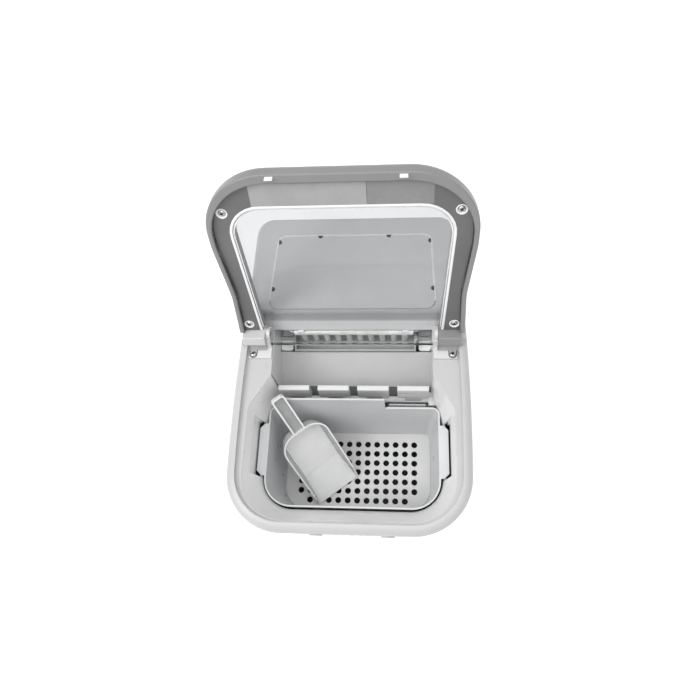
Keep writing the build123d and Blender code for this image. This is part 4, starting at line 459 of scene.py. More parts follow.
def add_bead(solid, path, place, size):
    """Adds a half-round bead to a bmesh, laid along an open path of (x, y) points."""
    width, height = size
    rows = []
    for number, point in enumerate(path):
        before, after = path[max(number - 1, 0)], path[min(number + 1, len(path) - 1)]
        along = (after - before).normalized()
        side = Vector((-along.y, along.x))
        row = []
        for step in range(BEAD_STEPS + 1):
            turn = math.pi * step / BEAD_STEPS
            spot = point + side * (width / 2 * math.cos(turn))
            row.append(solid.verts.new(place(spot.x, spot.y, height * math.sin(turn))))
        rows.append(row)
    for row, then in zip(rows, rows[1:]):
        for step in range(BEAD_STEPS + 1):
            nearby = (step + 1) % (BEAD_STEPS + 1)
            solid.faces.new((row[step], row[nearby], then[nearby], then[step]))
    solid.faces.new(rows[0])
    solid.faces.new(rows[-1][::-1])


def on_guard(across, along, height):
    """Place on the level of the shaft guard."""
    return Vector((across, along, GUARD_Z + height))


def on_guard_top(across, along, height):
    """Place on the upper face of the shaft guard."""
    return on_guard(across, along, GUARD_T + height)


guard_path = rounded_path([(x, y, GUARD_CORNER) for x, y in rectangle(GUARD_X, GUARD_Y)])
guard_solid = bmesh.new()
add_plate(guard_solid, guard_path, on_guard, GUARD_T)
shaft_guard = make_piece("shaft_guard", guard_solid, guard_plastic)
rib_solid = bmesh.new()
for rib_y in GUARD_RIBS:
    rib_path = [Vector((GUARD_X[0] + RIB_END, rib_y)), Vector((GUARD_X[1] - RIB_END, rib_y))]
    add_bead(rib_solid, rib_path, on_guard_top, RIB_SIZE)
guard_ribs = make_piece("guard_ribs", rib_solid, works_plastic)
for guard_piece in (shaft_guard, guard_ribs):
    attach(guard_piece, "cabinet")

# Drive gearbox: a closed black housing screwed to the outside of the tub.
# It turns the tray and the shovel together, and is moulded in the same filled plastic as the pump.
dress(filled_plastic, "drive_gearbox")

# Cabinet panels: two sides and a slotted back in a fine satin coat, tucked under the casing's skirt.
# The coat has a close powder grain, and a painted highlight on its folded and slotted edges.
panel_coat = finish_material(
    "satin_panel_coat", tint(206, 207, 208), tint(202, 203, 204),
    rough=(0.36, 0.48), grain=0.2, grain_scale=1300.0, edge=tint(220, 220, 221),
)
dress(panel_coat, "left_side_panel", "right_side_panel", "rear_panel")

# Cord gland: a flanged black rubber bush in the back.
# It is pulled through its hole from outside and grips the panel's edge.
dress(rubber, "cord_gland")

# Front shell: the curved front with the cut-out for the controls, moulded in pale satin plastic.
# It hooks on the pan and under the casing's skirt. The plastic has a very fine spark grain.
casing_plastic = finish_material(
    "satin_casing_plastic", tint(222, 222, 222), tint(218, 218, 219),
    rough=(0.26, 0.38), grain=0.1, edge=tint(236, 236, 236),
)
dress(casing_plastic, "front_shell")

# Control fascia: a dark glossy strip in the front, with two caps, five light pipes and the board behind.
# The caps carry a raised ring and bar, and a small and a large cube, pressed out of dark film.
FASCIA_ORIGIN = Vector((0.0, -0.164052, 0.222))
FASCIA_LEAN = math.radians(5.5)
FASCIA_OUT = Vector((0.0, -math.cos(FASCIA_LEAN), -math.sin(FASCIA_LEAN)))
FASCIA_UP = Vector((0.0, -math.sin(FASCIA_LEAN), math.cos(FASCIA_LEAN)))
CAP_X = 0.038
CAP_FLOOR = 0.001
SIGN_T = 0.00025
RING_R = 0.0029
RING_WIDTH = 0.0008
RING_GAP = math.radians(38)
RING_STEPS = 40
BAR_LENGTH = 0.0034
BAR_MIDDLE = 0.0026
CUBES = ((-0.0021, -0.0012, 0.0021), (0.0013, -0.0004, 0.0036))
fascia_plastic = finish_material(
    "fascia_plastic", tint(64, 66, 69), tint(54, 56, 59),
    rough=(0.14, 0.26), grain=0.04, edge=tint(92, 94, 97),
)
button_plastic = finish_material(
    "button_plastic", tint(206, 207, 208), tint(196, 197, 198),
    rough=(0.3, 0.4), grain=0.1, edge=tint(222, 222, 223),
)
lens_plastic = finish_material(
    "lens_plastic", tint(150, 190, 160), tint(132, 172, 144), rough=(0.1, 0.18), grain=0.02
)
board_lacquer = finish_material(
    "board_lacquer", tint(38, 92, 62), tint(28, 74, 50), rough=(0.3, 0.45), grain=0.1, patch_scale=120.0
)
sign_film = finish_material("sign_film", tint(58, 60, 63), tint(48, 50, 53), rough=(0.35, 0.5), grain=0.1)
dress(fascia_plastic, "control_fascia")
dress(button_plastic, "power_button", "size_button")
dress(lens_plastic, "indicator_lenses")
dress(board_lacquer, "control_board")


def on_cap(x):
    """Place on the dished floor of the cap at x."""
    def place(across, along, height):
        out = FASCIA_OUT * (CAP_FLOOR + height)
        return FASCIA_ORIGIN + Vector((x + across, 0.0, 0.0)) + FASCIA_UP * along + out
    return place


power_mark = bmesh.new()
stroke = RING_WIDTH / 2
sweep = 2 * math.pi - 2 * RING_GAP
turns = [math.pi / 2 + RING_GAP + sweep * i / RING_STEPS for i in range(RING_STEPS + 1)]
ring = [((RING_R + stroke) * math.cos(turn), (RING_R + stroke) * math.sin(turn)) for turn in turns]
ring += [((RING_R - stroke) * math.cos(turn), (RING_R - stroke) * math.sin(turn)) for turn in turns[::-1]]
add_plate(power_mark, ring, on_cap(-CAP_X), SIGN_T)
bar = rectangle((-stroke, stroke), (BAR_MIDDLE - BAR_LENGTH / 2, BAR_MIDDLE + BAR_LENGTH / 2))
add_plate(power_mark, bar, on_cap(-CAP_X), SIGN_T)
power_sign = make_piece("power_sign", power_mark, sign_film)
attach(power_sign, "power_button")

size_mark = bmesh.new()
for cube_x, cube_y, cube_side in CUBES:
    half = cube_side / 2
    square = rectangle((cube_x - half, cube_x + half), (cube_y - half, cube_y + half))
    add_plate(size_mark, square, on_cap(CAP_X), SIGN_T)
size_sign = make_piece("size_sign", size_mark, sign_film)
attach(size_sign, "size_button")

# Top casing: rounded rim, deck and funnel in one pale moulding, dropped over the panels and the tub.
# Spark-grained plastic with a painted highlight along its soft edges, and the funnel's faces painted whiter
# as light that lifts the shade inside the cavity.
FUNNEL_HALF = 0.112
FUNNEL_ENDS = (-0.164, 0.030)
FUNNEL_TOP = 0.2935
FUNNEL_MIDDLE = Vector((0.0, -0.07, 0.0))
top_plastic = finish_material(
    "satin_top_plastic", tint(194, 194, 194), tint(189, 189, 190),
    rough=(0.3, 0.35), grain=0.1, edge=tint(236, 236, 236),
)
funnel_painted_light = finish_material(
    "painted_light_funnel", tint(250, 250, 250), tint(247, 247, 247),
    rough=(0.27, 0.33), grain=0.06, edge=tint(252, 252, 252),
)


def dress_faces(node, *materials):
    """Gives a CAD piece several finishes, the first on all its faces, and returns those faces."""
    dress(materials[0], node)
    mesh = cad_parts[node].data
    for material in materials[1:]:
        mesh.materials.append(material)
    return mesh.polygons


# Painted light: the funnel's inward faces take a whiter copy of the casing plastic.
for polygon in dress_faces("top_casing", top_plastic, funnel_painted_light):
    x, y, z = polygon.center
    inside = z < FUNNEL_TOP and abs(x) < FUNNEL_HALF and FUNNEL_ENDS[0] < y < FUNNEL_ENDS[1]
    inward = (FUNNEL_MIDDLE - Vector((x, y, 0.0))).dot(polygon.normal) > 0
    polygon.material_index = 1 if inside and inward else 0

# Rear cover: a raised hood behind the lid, with a thin panel clipped into its top.
# Casing plastic a shade deeper, a soft bead pressed into the panel's gap and painted pale as the highlight
# along it, and six dark spring clips.
COVER_ORIGIN = Vector((0.0, 0.0422, 0.320))
COVER_SLOPE = math.radians(4)
PANEL_FRONT = 0.010
PANEL_REAR = 0.102
PANEL_HALF = 0.086
PANEL_TAPER = 1 / math.tan(math.radians(88))
PANEL_CORNER = 0.009
PANEL_GAP = 0.0008
COVER_BEAD = (0.0023, 0.0007)
REAR_CLIPS = (-0.0375, 0.0375)
SIDE_CLIPS = (0.024, 0.084)
CLIP_HALF = 0.0030
CLIP_DEPTH = 0.0032
CLIP_NOSE = 0.9
CLIP_T = 0.0007
cover_plastic = finish_material(
    "satin_cover_plastic", tint(217, 217, 218), tint(211, 211, 212),
    rough=(0.29, 0.34), grain=0.1, edge=tint(232, 232, 232),
)
bead_painted_highlight = finish_material(
    "highlight_bead", tint(246, 246, 246), tint(238, 238, 238),
    rough=(0.22, 0.34), grain=0.06, patch_scale=40.0,
)
clip_steel = finish_material(
    "dark_clip", tint(86, 86, 87), tint(70, 70, 71), rough=(0.34, 0.5), grain=0.1, patch_scale=120.0
)
dress(cover_plastic, "rear_top_cover", "rear_cover_panel")


def on_cover(across, along, height):
    """Place on the sloping top of the rear cover."""
    slope_along = Vector((0.0, math.cos(COVER_SLOPE), -math.sin(COVER_SLOPE)))
    slope_up = Vector((0.0, math.sin(COVER_SLOPE), math.cos(COVER_SLOPE)))
    return COVER_ORIGIN + Vector((across, 0.0, 0.0)) + slope_along * along + slope_up * height


panel_rear_half = PANEL_HALF - (PANEL_REAR - PANEL_FRONT) * PANEL_TAPER
gap_middle = PANEL_GAP / 2
panel_path = rounded_path((
    (PANEL_HALF + gap_middle, PANEL_FRONT + PANEL_CORNER, 0),
    (panel_rear_half + gap_middle, PANEL_REAR + gap_middle, PANEL_CORNER),
    (-panel_rear_half - gap_middle, PANEL_REAR + gap_middle, PANEL_CORNER),
    (-PANEL_HALF - gap_middle, PANEL_FRONT + PANEL_CORNER, 0),
))
cover_bead_solid = bmesh.new()
add_bead(cover_bead_solid, panel_path, on_cover, COVER_BEAD)
cover_bead = make_piece("cover_bead", cover_bead_solid, bead_painted_highlight)
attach(cover_bead, "cabinet")

clip_shape = [(-CLIP_HALF, 0.0), (CLIP_HALF, 0.0)]
for step in range(CORNER_STEPS + 1):
    turn = math.pi * (step + 0.5) / (CORNER_STEPS + 1)
    clip_shape.append((CLIP_NOSE * CLIP_HALF * math.cos(turn), -CLIP_DEPTH * math.sin(turn)))
clip_solid = bmesh.new()
for clip_x in REAR_CLIPS:
    outline = [(clip_x + x, PANEL_REAR + y) for x, y in clip_shape]
    add_plate(clip_solid, outline, on_cover, CLIP_T)
for clip_y in SIDE_CLIPS:
    for side in (-1, 1):
        edge_x = PANEL_HALF - clip_y * PANEL_TAPER
        outline = [(side * (edge_x + y), PANEL_FRONT + clip_y + x) for x, y in clip_shape]
        add_plate(clip_solid, outline, on_cover, CLIP_T)
cover_clips = make_piece("cover_clips", clip_solid, clip_steel)
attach(cover_clips, "cabinet")

# Hinge brackets and pins: a cheek beside each lug, with a foot on the deck and a steel stub as the axle.
# The foot's end is a bare U-shaped tab with a dark line painted round it as the shadow between tab and deck,
# and the rest is casing colour.
TAB_X = 0.104
TAB_Y = 0.010
TAB_INNER = 0.0034
TAB_OUTER = 0.0043
TAB_COLOUR = tint(186, 187, 188)
TAB_SHADOW_LINE = tint(62, 62, 63)


def tab_distance(tree):
    """Distance from the middle line of a U-shaped tab that is round in front and runs on to the rear."""
    place = coordinates(tree)
    across = maths(tree, "SUBTRACT", maths(tree, "ABSOLUTE", place["X"]), TAB_X)
    ahead = maths(tree, "MINIMUM", maths(tree, "SUBTRACT", place["Y"], TAB_Y), 0.0)
    squares = [maths(tree, "POWER", length, 2.0) for length in (across, ahead)]
    return maths(tree, "SQRT", maths(tree, "ADD", *squares))


bracket_plastic = finish_material(
    "bracket_plastic", tint(216, 216, 216), tint(208, 208, 209),
    rough=(0.3, 0.42), grain=0.1, edge=tint(230, 230, 230),
)
tab_tree = bracket_plastic.node_tree
tab_way = tab_distance(tab_tree)
# The outer ring is painted shadow, and the inner one is the tab's own grey.
for colour, reach in ((TAB_SHADOW_LINE, TAB_OUTER), (TAB_COLOUR, TAB_INNER)):
    overlay(bracket_plastic, colour, maths(tab_tree, "LESS_THAN", tab_way, reach))
dress(bracket_plastic, "hinge_bracket_left", "hinge_bracket_right")
dress(zinc, "hinge_pins")

# Hinge screws: two pan-head screws with a cross recess, which hold the bracket tabs on the deck.
# Bright zinc-plated steel, turned, with the recess punched into the dome and painted near black as the shade
# inside it.
MM = 0.001
HEAD_PROFILE = ((0.0, 2.0), (1.1, 1.94), (2.0, 1.72), (2.7, 1.28), (3.1, 0.7), (3.2, 0.25), (3.1, 0.0))
SHANK_R = 1.5
SCREW_STEPS = 40
RECESS_TOP = (2.1, 0.62)
RECESS_FLOOR = (0.9, 0.36)
RECESS_DEPTH = 1.35
PUNCH_OVER = 0.2
FIRST_TURN = 0.35
NEXT_TURN = 0.9
HINGE_HEAD_SEAT = 0.2965
HINGE_SHANK = 2.5
bright_screw = finish_material(
    "plated_screw", tint(216, 217, 219), tint(186, 188, 190),
    rough=(0.12, 0.26), grain=0.05, patch_scale=160.0, Metallic=1.0,
)
recess_painted_shade = finish_material(
    "recess_shadow_paint", tint(34, 34, 35), tint(24, 24, 25), rough=(0.5, 0.65), grain=0.1, patch_scale=200.0
)


def cross_screw(shank):
    """Mesh of one screw in millimetres, standing on its head's underside, with its recess punched out."""
    turned = bmesh.new()
    outline = list(HEAD_PROFILE) + [(SHANK_R, 0.0), (SHANK_R, -shank), (0.0, -shank)]
    points = [turned.verts.new((radius, 0.0, height)) for radius, height in outline]
    for first, then in zip(points, points[1:]):
        turned.edges.new((first, then))
    bmesh.ops.spin(
        turned, geom=turned.verts[:] + turned.edges[:], cent=(0, 0, 0), axis=(0, 0, 1),
        angle=2 * math.pi, steps=SCREW_STEPS, use_duplicate=False,
    )
    head = make_piece("screw_blank", turned, bright_screw)
    punch_solid = bmesh.new()
    top, floor = HEAD_PROFILE[0][1] + PUNCH_OVER, HEAD_PROFILE[0][1] - RECESS_DEPTH
    for turn in (0, 1):
        corners = []
        for level, (long, wide) in ((top, RECESS_TOP), (floor, RECESS_FLOOR)):
            for x, y in rectangle((-long, long), (-wide, wide)):
                corners.append(punch_solid.verts.new((y, x, level) if turn else (x, y, level)))
        punch_solid.faces.new(corners[0:4])
        punch_solid.faces.new(corners[7:3:-1])
        for i in range(4):
            j = (i + 1) % 4
            punch_solid.faces.new((corners[i], corners[i + 4], corners[j + 4], corners[j]))
    punch = make_piece("screw_punch", punch_solid, recess_painted_shade)
    cut = head.modifiers.new("recess", "BOOLEAN")
    cut.operation = "DIFFERENCE"
    cut.solver = "EXACT"
    cut.use_self = True
    cut.material_mode = "TRANSFER"
    cut.object = punch
    bpy.context.view_layer.update()
    finished = bpy.data.meshes.new_from_object(head.evaluated_get(bpy.context.evaluated_depsgraph_get()))
    for blank in (head, punch):
        bpy.data.objects.remove(blank)
    return finished


def screw_set(name, shank, heads, across, out_of):
    """One object with a screw at each head, facing out_of, each turned further than the one before."""
    pattern = cross_screw(shank)
    screws = bmesh.new()
    for number, place in enumerate(heads):
        axes = Matrix((across, out_of.cross(across), out_of)).transposed().to_4x4()
        spin = Matrix.Rotation(FIRST_TURN + NEXT_TURN * number, 4, "Z")
        first = len(screws.verts)
        screws.from_mesh(pattern)
        screws.verts.ensure_lookup_table()
        move = Matrix.Translation(place) @ axes @ spin @ Matrix.Scale(MM, 4)
        bmesh.ops.transform(screws, matrix=move, verts=screws.verts[first:])
    return put_in_scene(name, screws, pattern.materials)


hinge_cross_screws = screw_set(
    "hinge_cross_screws", HINGE_SHANK, [Vector((side * TAB_X, TAB_Y, HINGE_HEAD_SEAT)) for side in (-1, 1)],
    Vector((1, 0, 0)), Vector((0, 0, 1)),
)
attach(hinge_cross_screws, "cabinet")
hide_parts("hinge_screws")

# Lid shell: the rounded outer rim and skin of the lid, one U-shaped moulding that is open at the hinge.
# Mid-grey satin plastic, with a painted highlight along its rounded rim and painted shade on the wall that
# drops to the frame.
LID_ORIGIN = Vector((0.0, 0.028, 0.308))
LID_ANGLE = math.radians(109.6)
LID_ALONG = Vector((0.0, -math.cos(LID_ANGLE), math.sin(LID_ANGLE)))
LID_OUT = Vector((0.0, -math.sin(LID_ANGLE), -math.cos(LID_ANGLE)))
LID_MIDDLE = 0.085
RIM_UPRIGHT = 0.5
RIM_LEVEL = 0.001
rim_plastic = finish_material(
    "lid_rim_plastic", tint(138, 138, 139), tint(131, 131, 132),
    rough=(0.28, 0.32), grain=0.08, edge=tint(186, 186, 187),
)
rim_painted_shade = finish_material(
    "lid_rim_shadow_paint", tint(84, 84, 85), tint(74, 74, 75), rough=(0.3, 0.42), grain=0.08, patch_scale=40.0
)
for polygon in dress_faces("lid_outer_shell", rim_plastic, rim_painted_shade):
    to_middle = LID_ORIGIN + LID_ALONG * LID_MIDDLE - polygon.center
    standing = abs(polygon.normal.dot(LID_OUT)) < RIM_UPRIGHT
    if standing and to_middle.dot(LID_OUT) < RIM_LEVEL and to_middle.dot(polygon.normal) > 0:
        polygon.material_index = 1

# Lid window: a clear pane with a lip round three sides, clamped under the frame, its rear edge rolled down.
# The clear plastic is polished. Its lip and cut edges are painted white as bright highlight lines, and its
# standing edge walls painted grey as shade.
PANE_INNER = -0.0088
PANE_REAR = 0.012
PANE_UPRIGHT = 0.7
PANE_LIP, PANE_WALL, PANE_ROLL = 1, 2, 3


def clear_plastic(name, colour, shade, refraction):
    """Clear polished plastic that lets the lamps' light straight through."""
    material = finish_material(
        name, colour, shade,
        rough=(0.0, 0.012), grain=0.0, patch_scale=20.0, Transmission_Weight=1.0, IOR=refraction,
    )
    tree = material.node_tree
    light = tree.nodes.new("ShaderNodeLightPath")
    through = tree.nodes.new("ShaderNodeBsdfTransparent")
    mix = tree.nodes.new("ShaderNodeMixShader")
    tree.links.new(light.outputs["Is Shadow Ray"], mix.inputs["Fac"])
    tree.links.new(tree.nodes["Principled BSDF"].outputs["BSDF"], mix.inputs[1])
    tree.links.new(through.outputs["BSDF"], mix.inputs[2])
    tree.links.new(mix.outputs["Shader"], tree.nodes["Material Output"].inputs["Surface"])
    return material


clear_pane = clear_plastic("clear_pane", tint(206, 207, 208), tint(202, 203, 204), 1.22)
clear_roll = clear_plastic("clear_roll", tint(246, 247, 247), tint(243, 244, 244), 1.14)
pane_lip_highlight = finish_material(
    "pane_lip_highlight", tint(250, 250, 250), tint(240, 241, 242),
    rough=(0.18, 0.3), grain=0.03, patch_scale=60.0, Transmission_Weight=0.25, IOR=1.49,
)
pane_side_shade = finish_material(
    "pane_side_shade", tint(172, 173, 174), tint(160, 161, 162),
    rough=(0.16, 0.28), grain=0.03, patch_scale=60.0, Transmission_Weight=0.15, IOR=1.49,
)
for polygon in dress_faces("lid_window", clear_pane, pane_lip_highlight, pane_side_shade, clear_roll):
    from_hinge = polygon.center - LID_ORIGIN
    along, out = from_hinge.dot(LID_ALONG), from_hinge.dot(LID_OUT)
    standing = abs(polygon.normal.dot(LID_OUT)) < PANE_UPRIGHT
    if along > PANE_REAR and (out > PANE_INNER or standing):
        polygon.material_index = PANE_WALL if standing else PANE_LIP
    elif along < PANE_REAR:
        polygon.material_index = PANE_ROLL

# Lid frame: the inner frame that clamps the window, with a dish at each corner for its screw.
# Mid-grey satin plastic, a seal bead along the window painted white as the highlight on the pane's edge, and
# two blank films on the front bar.
WINDOW_REAR = 0.007
WINDOW_FRONT = 0.157
WINDOW_REAR_HALF = 0.0915
WINDOW_FRONT_HALF = 0.0995
WINDOW_CORNER = 0.030
SEAL_OFFSET = 0.0011
SEAL_BEAD = (0.0026, 0.0006)
FILMS = (
    ("pale_film", (-0.0755, 0.0235), tint(164, 164, 165), tint(157, 157, 158)),
    ("grey_film", (0.0240, 0.0795), tint(138, 138, 139), tint(130, 130, 131)),
)
FILM_ALONG = (0.1590, 0.1815)
FILM_T = 0.00018
FILM_CORNER = 0.0008
frame_plastic = finish_material(
    "lid_frame_plastic", tint(108, 108, 109), tint(98, 98, 99),
    rough=(0.32, 0.37), grain=0.1, edge=tint(178, 178, 179),
)
dress(frame_plastic, "lid_inner_frame")


def on_lid(across, along, height):
    """Place on the underside of the lid's frame."""
    return LID_ORIGIN + Vector((across, 0.0, 0.0)) + LID_ALONG * along + LID_OUT * height


seal_rear_half = WINDOW_REAR_HALF + (WINDOW_FRONT_HALF - WINDOW_REAR_HALF) * WINDOW_REAR / WINDOW_FRONT
seal_path = rounded_path((
    (seal_rear_half + SEAL_OFFSET, WINDOW_REAR, 0),
    (WINDOW_FRONT_HALF + SEAL_OFFSET, WINDOW_FRONT + SEAL_OFFSET, WINDOW_CORNER),
    (-WINDOW_FRONT_HALF - SEAL_OFFSET, WINDOW_FRONT + SEAL_OFFSET, WINDOW_CORNER),
    (-seal_rear_half - SEAL_OFFSET, WINDOW_REAR, 0),
))
seal_solid = bmesh.new()
add_bead(seal_solid, seal_path, on_lid, SEAL_BEAD)
window_seal = make_piece("window_seal", seal_solid, bead_painted_highlight)
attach(window_seal, "lid")

for film_name, film_across, colour, shade in FILMS:
    film_print = finish_material(
        film_name + "_print", colour, shade, rough=(0.2, 0.3), grain=0.03, patch_scale=40.0
    )
    film_path = rounded_path([(x, y, FILM_CORNER) for x, y in rectangle(film_across, FILM_ALONG)])
    film_solid = bmesh.new()
    add_plate(film_solid, film_path, on_lid, FILM_T)
    film = make_piece(film_name, film_solid, film_print)
    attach(film, "lid")

# Lid screws: four cross-recess screws in the frame's dishes, driven into the shell's posts.
# The same plated screws as on the hinge, with a longer shank and a cup washer under each head, painted white
# as the highlight on the dish's rim.
LID_HEADS = ((-0.103, 0.1525), (0.103, 0.1525), (-0.1045, 0.015), (0.1045, 0.015))
CUP_PROFILE = (
    (4.15, -1.2), (3.35, -1.2), (3.45, -0.8), (4.05, 0.12), (4.5, 0.38), (4.95, 0.32), (5.2, 0.0), (4.2, 0.0),
)
LID_HEAD_SEAT = -0.0012
LID_SHANK = 8.9
lid_cross_screws = screw_set(
    "lid_cross_screws", LID_SHANK, [on_lid(x, along, LID_HEAD_SEAT) for x, along in LID_HEADS],
    Vector((1, 0, 0)), LID_OUT,
)
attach(lid_cross_screws, "lid")
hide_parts("lid_screws")

cup_solid = bmesh.new()
for cup_x, cup_along in LID_HEADS:
    rings = []
    for step in range(SCREW_STEPS):
        turn = 2 * math.pi * step / SCREW_STEPS
        ring_points = []
        for radius, height in CUP_PROFILE:
            across = cup_x + radius * MM * math.cos(turn)
            along = cup_along + radius * MM * math.sin(turn)
            ring_points.append(cup_solid.verts.new(on_lid(across, along, height * MM)))
        rings.append(ring_points)
    for ring_number, ring_points in enumerate(rings):
        following = rings[(ring_number + 1) % SCREW_STEPS]
        for i in range(len(CUP_PROFILE)):
            j = (i + 1) % len(CUP_PROFILE)
            cup_solid.faces.new((ring_points[i], ring_points[j], following[j], following[i]))
lid_cups = make_piece("lid_cup_washers", cup_solid, bead_painted_highlight)
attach(lid_cups, "lid")

# Hinge lugs: a square block at the end of each lid arm, bored for the pin.
# The left block is moulded pale, and the right one is painted in the lid's grey as the shade that falls on
# it.
lug_pale = finish_material(
    "pale_lug_plastic", tint(208, 208, 208), tint(200, 200, 200),
    rough=(0.3, 0.42), grain=0.1, edge=tint(238, 238, 238),
)
lug_painted_shade = finish_material(
    "shaded_lug_plastic", tint(148, 148, 149), tint(138, 138, 139),
    rough=(0.3, 0.42), grain=0.1, edge=tint(188, 188, 189),
)
# Painted shade: the right lug takes the grey copy.
for polygon in dress_faces("lid_hinge_lugs", lug_pale, lug_painted_shade):
    polygon.material_index = 1 if polygon.center.x > 0 else 0

# Lid bumpers: two small white studs pushed into the lid's rim, which meet the casing when the lid shuts.
# Soft white rubber, matt.
bumper_rubber = finish_material(
    "bumper_rubber", tint(244, 244, 243), tint(234, 234, 232), rough=(0.5, 0.62), grain=0.1
)
dress(bumper_rubber, "lid_bumpers")

# Ice basket: tapered walls with handle ledges, and a drilled floor pressed into them.
# Half-gloss grey plastic that shows a dull reflection of the floor and the clouds of dried water.
basket_plastic = finish_material(
    "basket_wall_plastic", tint(216, 217, 218), tint(209, 210, 211),
    rough=(0.27, 0.33), grain=0.06, edge=tint(232, 232, 233),
)
floor_plastic = finish_material(
    "basket_floor_plastic", tint(214, 214, 214), tint(204, 204, 205),
    rough=(0.26, 0.4), grain=0.06, edge=tint(228, 228, 228), edge_width=0.0005,
)
dress(basket_plastic, "ice_basket")
dress(floor_plastic, "basket_floor")

# Ice scoop: bowl, blade and hollow handle in one moulding, loose in the basket.
# Milky plastic. The bowl floor, blade and rim are painted whiter as light and highlight, and the walls and
# the handle's recess painted grey as shade.
SCOOP_TIP = Vector((-0.022, -0.107, 0.1646))
SCOOP_HEADING = math.radians(37.7)
SCOOP_TILT = math.radians(50.9)
SCOOP_ACROSS = Vector((math.cos(SCOOP_HEADING), math.sin(SCOOP_HEADING), 0.0))
SCOOP_OUT = Vector((
    math.sin(SCOOP_TILT) * math.sin(SCOOP_HEADING),
    -math.sin(SCOOP_TILT) * math.cos(SCOOP_HEADING),
    math.cos(SCOOP_TILT),
))
SCOOP_ALONG = SCOOP_OUT.cross(SCOOP_ACROSS)
BLADE_END = 0.034
BOWL_END = 0.099
BOWL_MIDDLE = 0.055
RIM_HEIGHT = 0.0046
LEVEL, SLOPING, UPRIGHT = 0.9, 0.6, -0.1
SCOOP_GLOSS = (0.18, 0.3)
SCOOP_GRAIN = 0.05
# Lit and shaded copies of the scoop plastic: painted light and highlight on the faces turned up, painted
# shade on the walls and in the recess.
SCOOP_FACES = (
    ("scoop_lit_floor", tint(247, 247, 247), tint(239, 239, 239), SCOOP_GLOSS, SCOOP_GRAIN),
    ("scoop_shaded_wall", tint(176, 177, 177), tint(162, 163, 163), SCOOP_GLOSS, SCOOP_GRAIN),
    ("scoop_shaded_recess", tint(168, 169, 169), tint(156, 157, 157), SCOOP_GLOSS, SCOOP_GRAIN),
    ("scoop_highlight_rim", tint(240, 240, 240), tint(234, 234, 234), (0.14, 0.24), 0.03),
    ("scoop_lit_blade", tint(236, 236, 236), tint(227, 227, 227), SCOOP_GLOSS, SCOOP_GRAIN),
)
FLOOR_FACE, WALL_FACE, RECESS_FACE, RIM_FACE, BLADE_FACE = 1, 2, 3, 4, 5
scoop_plastic = finish_material(
    "scoop_plastic", tint(214, 215, 215), tint(204, 205, 205),
    rough=SCOOP_GLOSS, grain=SCOOP_GRAIN, edge=tint(250, 250, 250),
)
scoop_finishes = [
    finish_material(name, colour, shade, rough, grain, patch_scale=30.0)
    for name, colour, shade, rough, grain in SCOOP_FACES
]
for polygon in dress_faces("ice_scoop", scoop_plastic, *scoop_finishes):
    from_tip = polygon.center - SCOOP_TIP
    along, out = from_tip.dot(SCOOP_ALONG), from_tip.dot(SCOOP_OUT)
    facing_out = polygon.normal.dot(SCOOP_OUT)
    to_middle = SCOOP_ALONG * BOWL_MIDDLE - from_tip
    inward = polygon.normal.dot(to_middle - SCOOP_OUT * to_middle.dot(SCOOP_OUT)) > 0
    if facing_out > LEVEL and out > RIM_HEIGHT:
        polygon.material_index = RIM_FACE
    elif along > BOWL_END:
        polygon.material_index = RECESS_FACE if facing_out > LEVEL else 0
    elif facing_out > SLOPING:
        polygon.material_index = FLOOR_FACE if along > BLADE_END else BLADE_FACE
    elif facing_out > UPRIGHT and inward:
        polygon.material_index = WALL_FACE

# Studio floor: a wide sheet of white paper under the machine, which takes its soft shadow.
# Its white is lifted where it is seen, straight, mirrored or through the window, so it reads as a page.
FLOOR_HALF = 4.0
FLOOR_LIFT = 0.35
floor_mesh = bpy.data.meshes.new("studio_floor")
floor_span = (-FLOOR_HALF, FLOOR_HALF)
floor_mesh.from_pydata([(x, y, 0.0) for x, y in rectangle(floor_span, floor_span)], [], [(0, 1, 2, 3)])
studio_floor = bpy.data.objects.new("studio_floor", floor_mesh)
bpy.context.scene.collection.objects.link(studio_floor)
floor_paper = finish_material(
    "floor_paper", tint(250, 250, 250), tint(249, 249, 249), rough=(0.7, 0.8), grain=0.02
)
paper_tree = floor_paper.node_tree
paper_shader = paper_tree.nodes["Principled BSDF"]
paper_shader.inputs["Emission Color"].default_value = (1, 1, 1, 1)
paper_light = paper_tree.nodes.new("ShaderNodeLightPath").outputs
paper_seen = maths(paper_tree, "MAXIMUM", paper_light["Is Camera Ray"], paper_light["Is Glossy Ray"])
paper_seen = maths(paper_tree, "MAXIMUM", paper_seen, paper_light["Is Transmission Ray"])
paper_lift = maths(paper_tree, "MULTIPLY", paper_seen, FLOOR_LIFT)
paper_tree.links.new(paper_lift, paper_shader.inputs["Emission Strength"])
floor_mesh.materials.append(floor_paper)

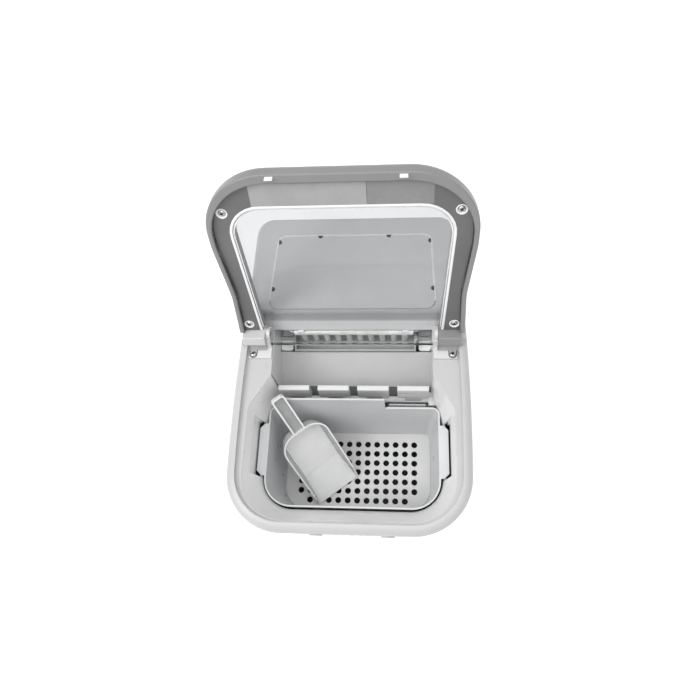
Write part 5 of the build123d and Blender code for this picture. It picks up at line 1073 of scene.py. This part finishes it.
# Studio light: white air all round, a large soft box overhead, one to the left and a weak one in front.
# The air is white at full strength for the camera and dimmer as a light.
AIR_LIGHT = 0.72
SOFT_BOXES = (
    ("softbox_top", (0.1, -0.1, 1.9), (0.0, 0.0, 0.25), 1.4, 8.0),
    ("softbox_left", (-1.0, -0.4, 1.6), (0.0, 0.0, 0.25), 0.9, 11.0),
    ("softbox_front", (0.1, -0.6, 1.6), (0.0, 0.0, 0.2), 0.6, 1.4),
)
world = bpy.data.worlds.new("studio_air")
bpy.context.scene.world = world
world.use_nodes = True
air = world.node_tree.nodes["Background"]
air.inputs["Color"].default_value = (1, 1, 1, 1)
air_light = world.node_tree.nodes.new("ShaderNodeLightPath").outputs
air_level = remap(world.node_tree, air_light["Is Camera Ray"], (0.0, 1.0), (AIR_LIGHT, 1.0))
world.node_tree.links.new(air_level, air.inputs["Strength"])
for lamp_name, place, target, size, watts in SOFT_BOXES:
    lamp_data = bpy.data.lights.new(lamp_name, "AREA")
    lamp_data.size = size
    lamp_data.energy = watts
    lamp = bpy.data.objects.new(lamp_name, lamp_data)
    lamp.location = place
    lamp.rotation_euler = (Vector(target) - Vector(place)).to_track_quat("-Z", "Y").to_euler()
    bpy.context.scene.collection.objects.link(lamp)

# Camera: hand held above the front, looking down into the open machine.
# It is turned a little to the left and rolled, as the picture is.
CAMERA_PLACE = Vector((0.056559, -0.227139, 0.895603))
CAMERA_YAW, CAMERA_PITCH, CAMERA_ROLL = 0.237, 1.177, -0.218
CAMERA_LENS = 31.98
SENSOR_WIDTH = 36.0
ahead = Vector((
    -math.sin(CAMERA_YAW) * math.cos(CAMERA_PITCH),
    math.cos(CAMERA_YAW) * math.cos(CAMERA_PITCH),
    -math.sin(CAMERA_PITCH),
))
level_right = Vector((math.cos(CAMERA_YAW), math.sin(CAMERA_YAW), 0))
level_up = level_right.cross(ahead)
right = math.cos(CAMERA_ROLL) * level_right + math.sin(CAMERA_ROLL) * level_up
up = -math.sin(CAMERA_ROLL) * level_right + math.cos(CAMERA_ROLL) * level_up
camera_data = bpy.data.cameras.new("photo_camera")
camera_data.lens = CAMERA_LENS
camera_data.sensor_width = SENSOR_WIDTH
camera = bpy.data.objects.new("photo_camera", camera_data)
facing = Matrix((right, up, -ahead)).transposed()
camera.matrix_world = Matrix.Translation(CAMERA_PLACE) @ facing.to_4x4()
bpy.context.scene.collection.objects.link(camera)
bpy.context.scene.camera = camera
bpy.context.scene.view_settings.view_transform = "Standard"
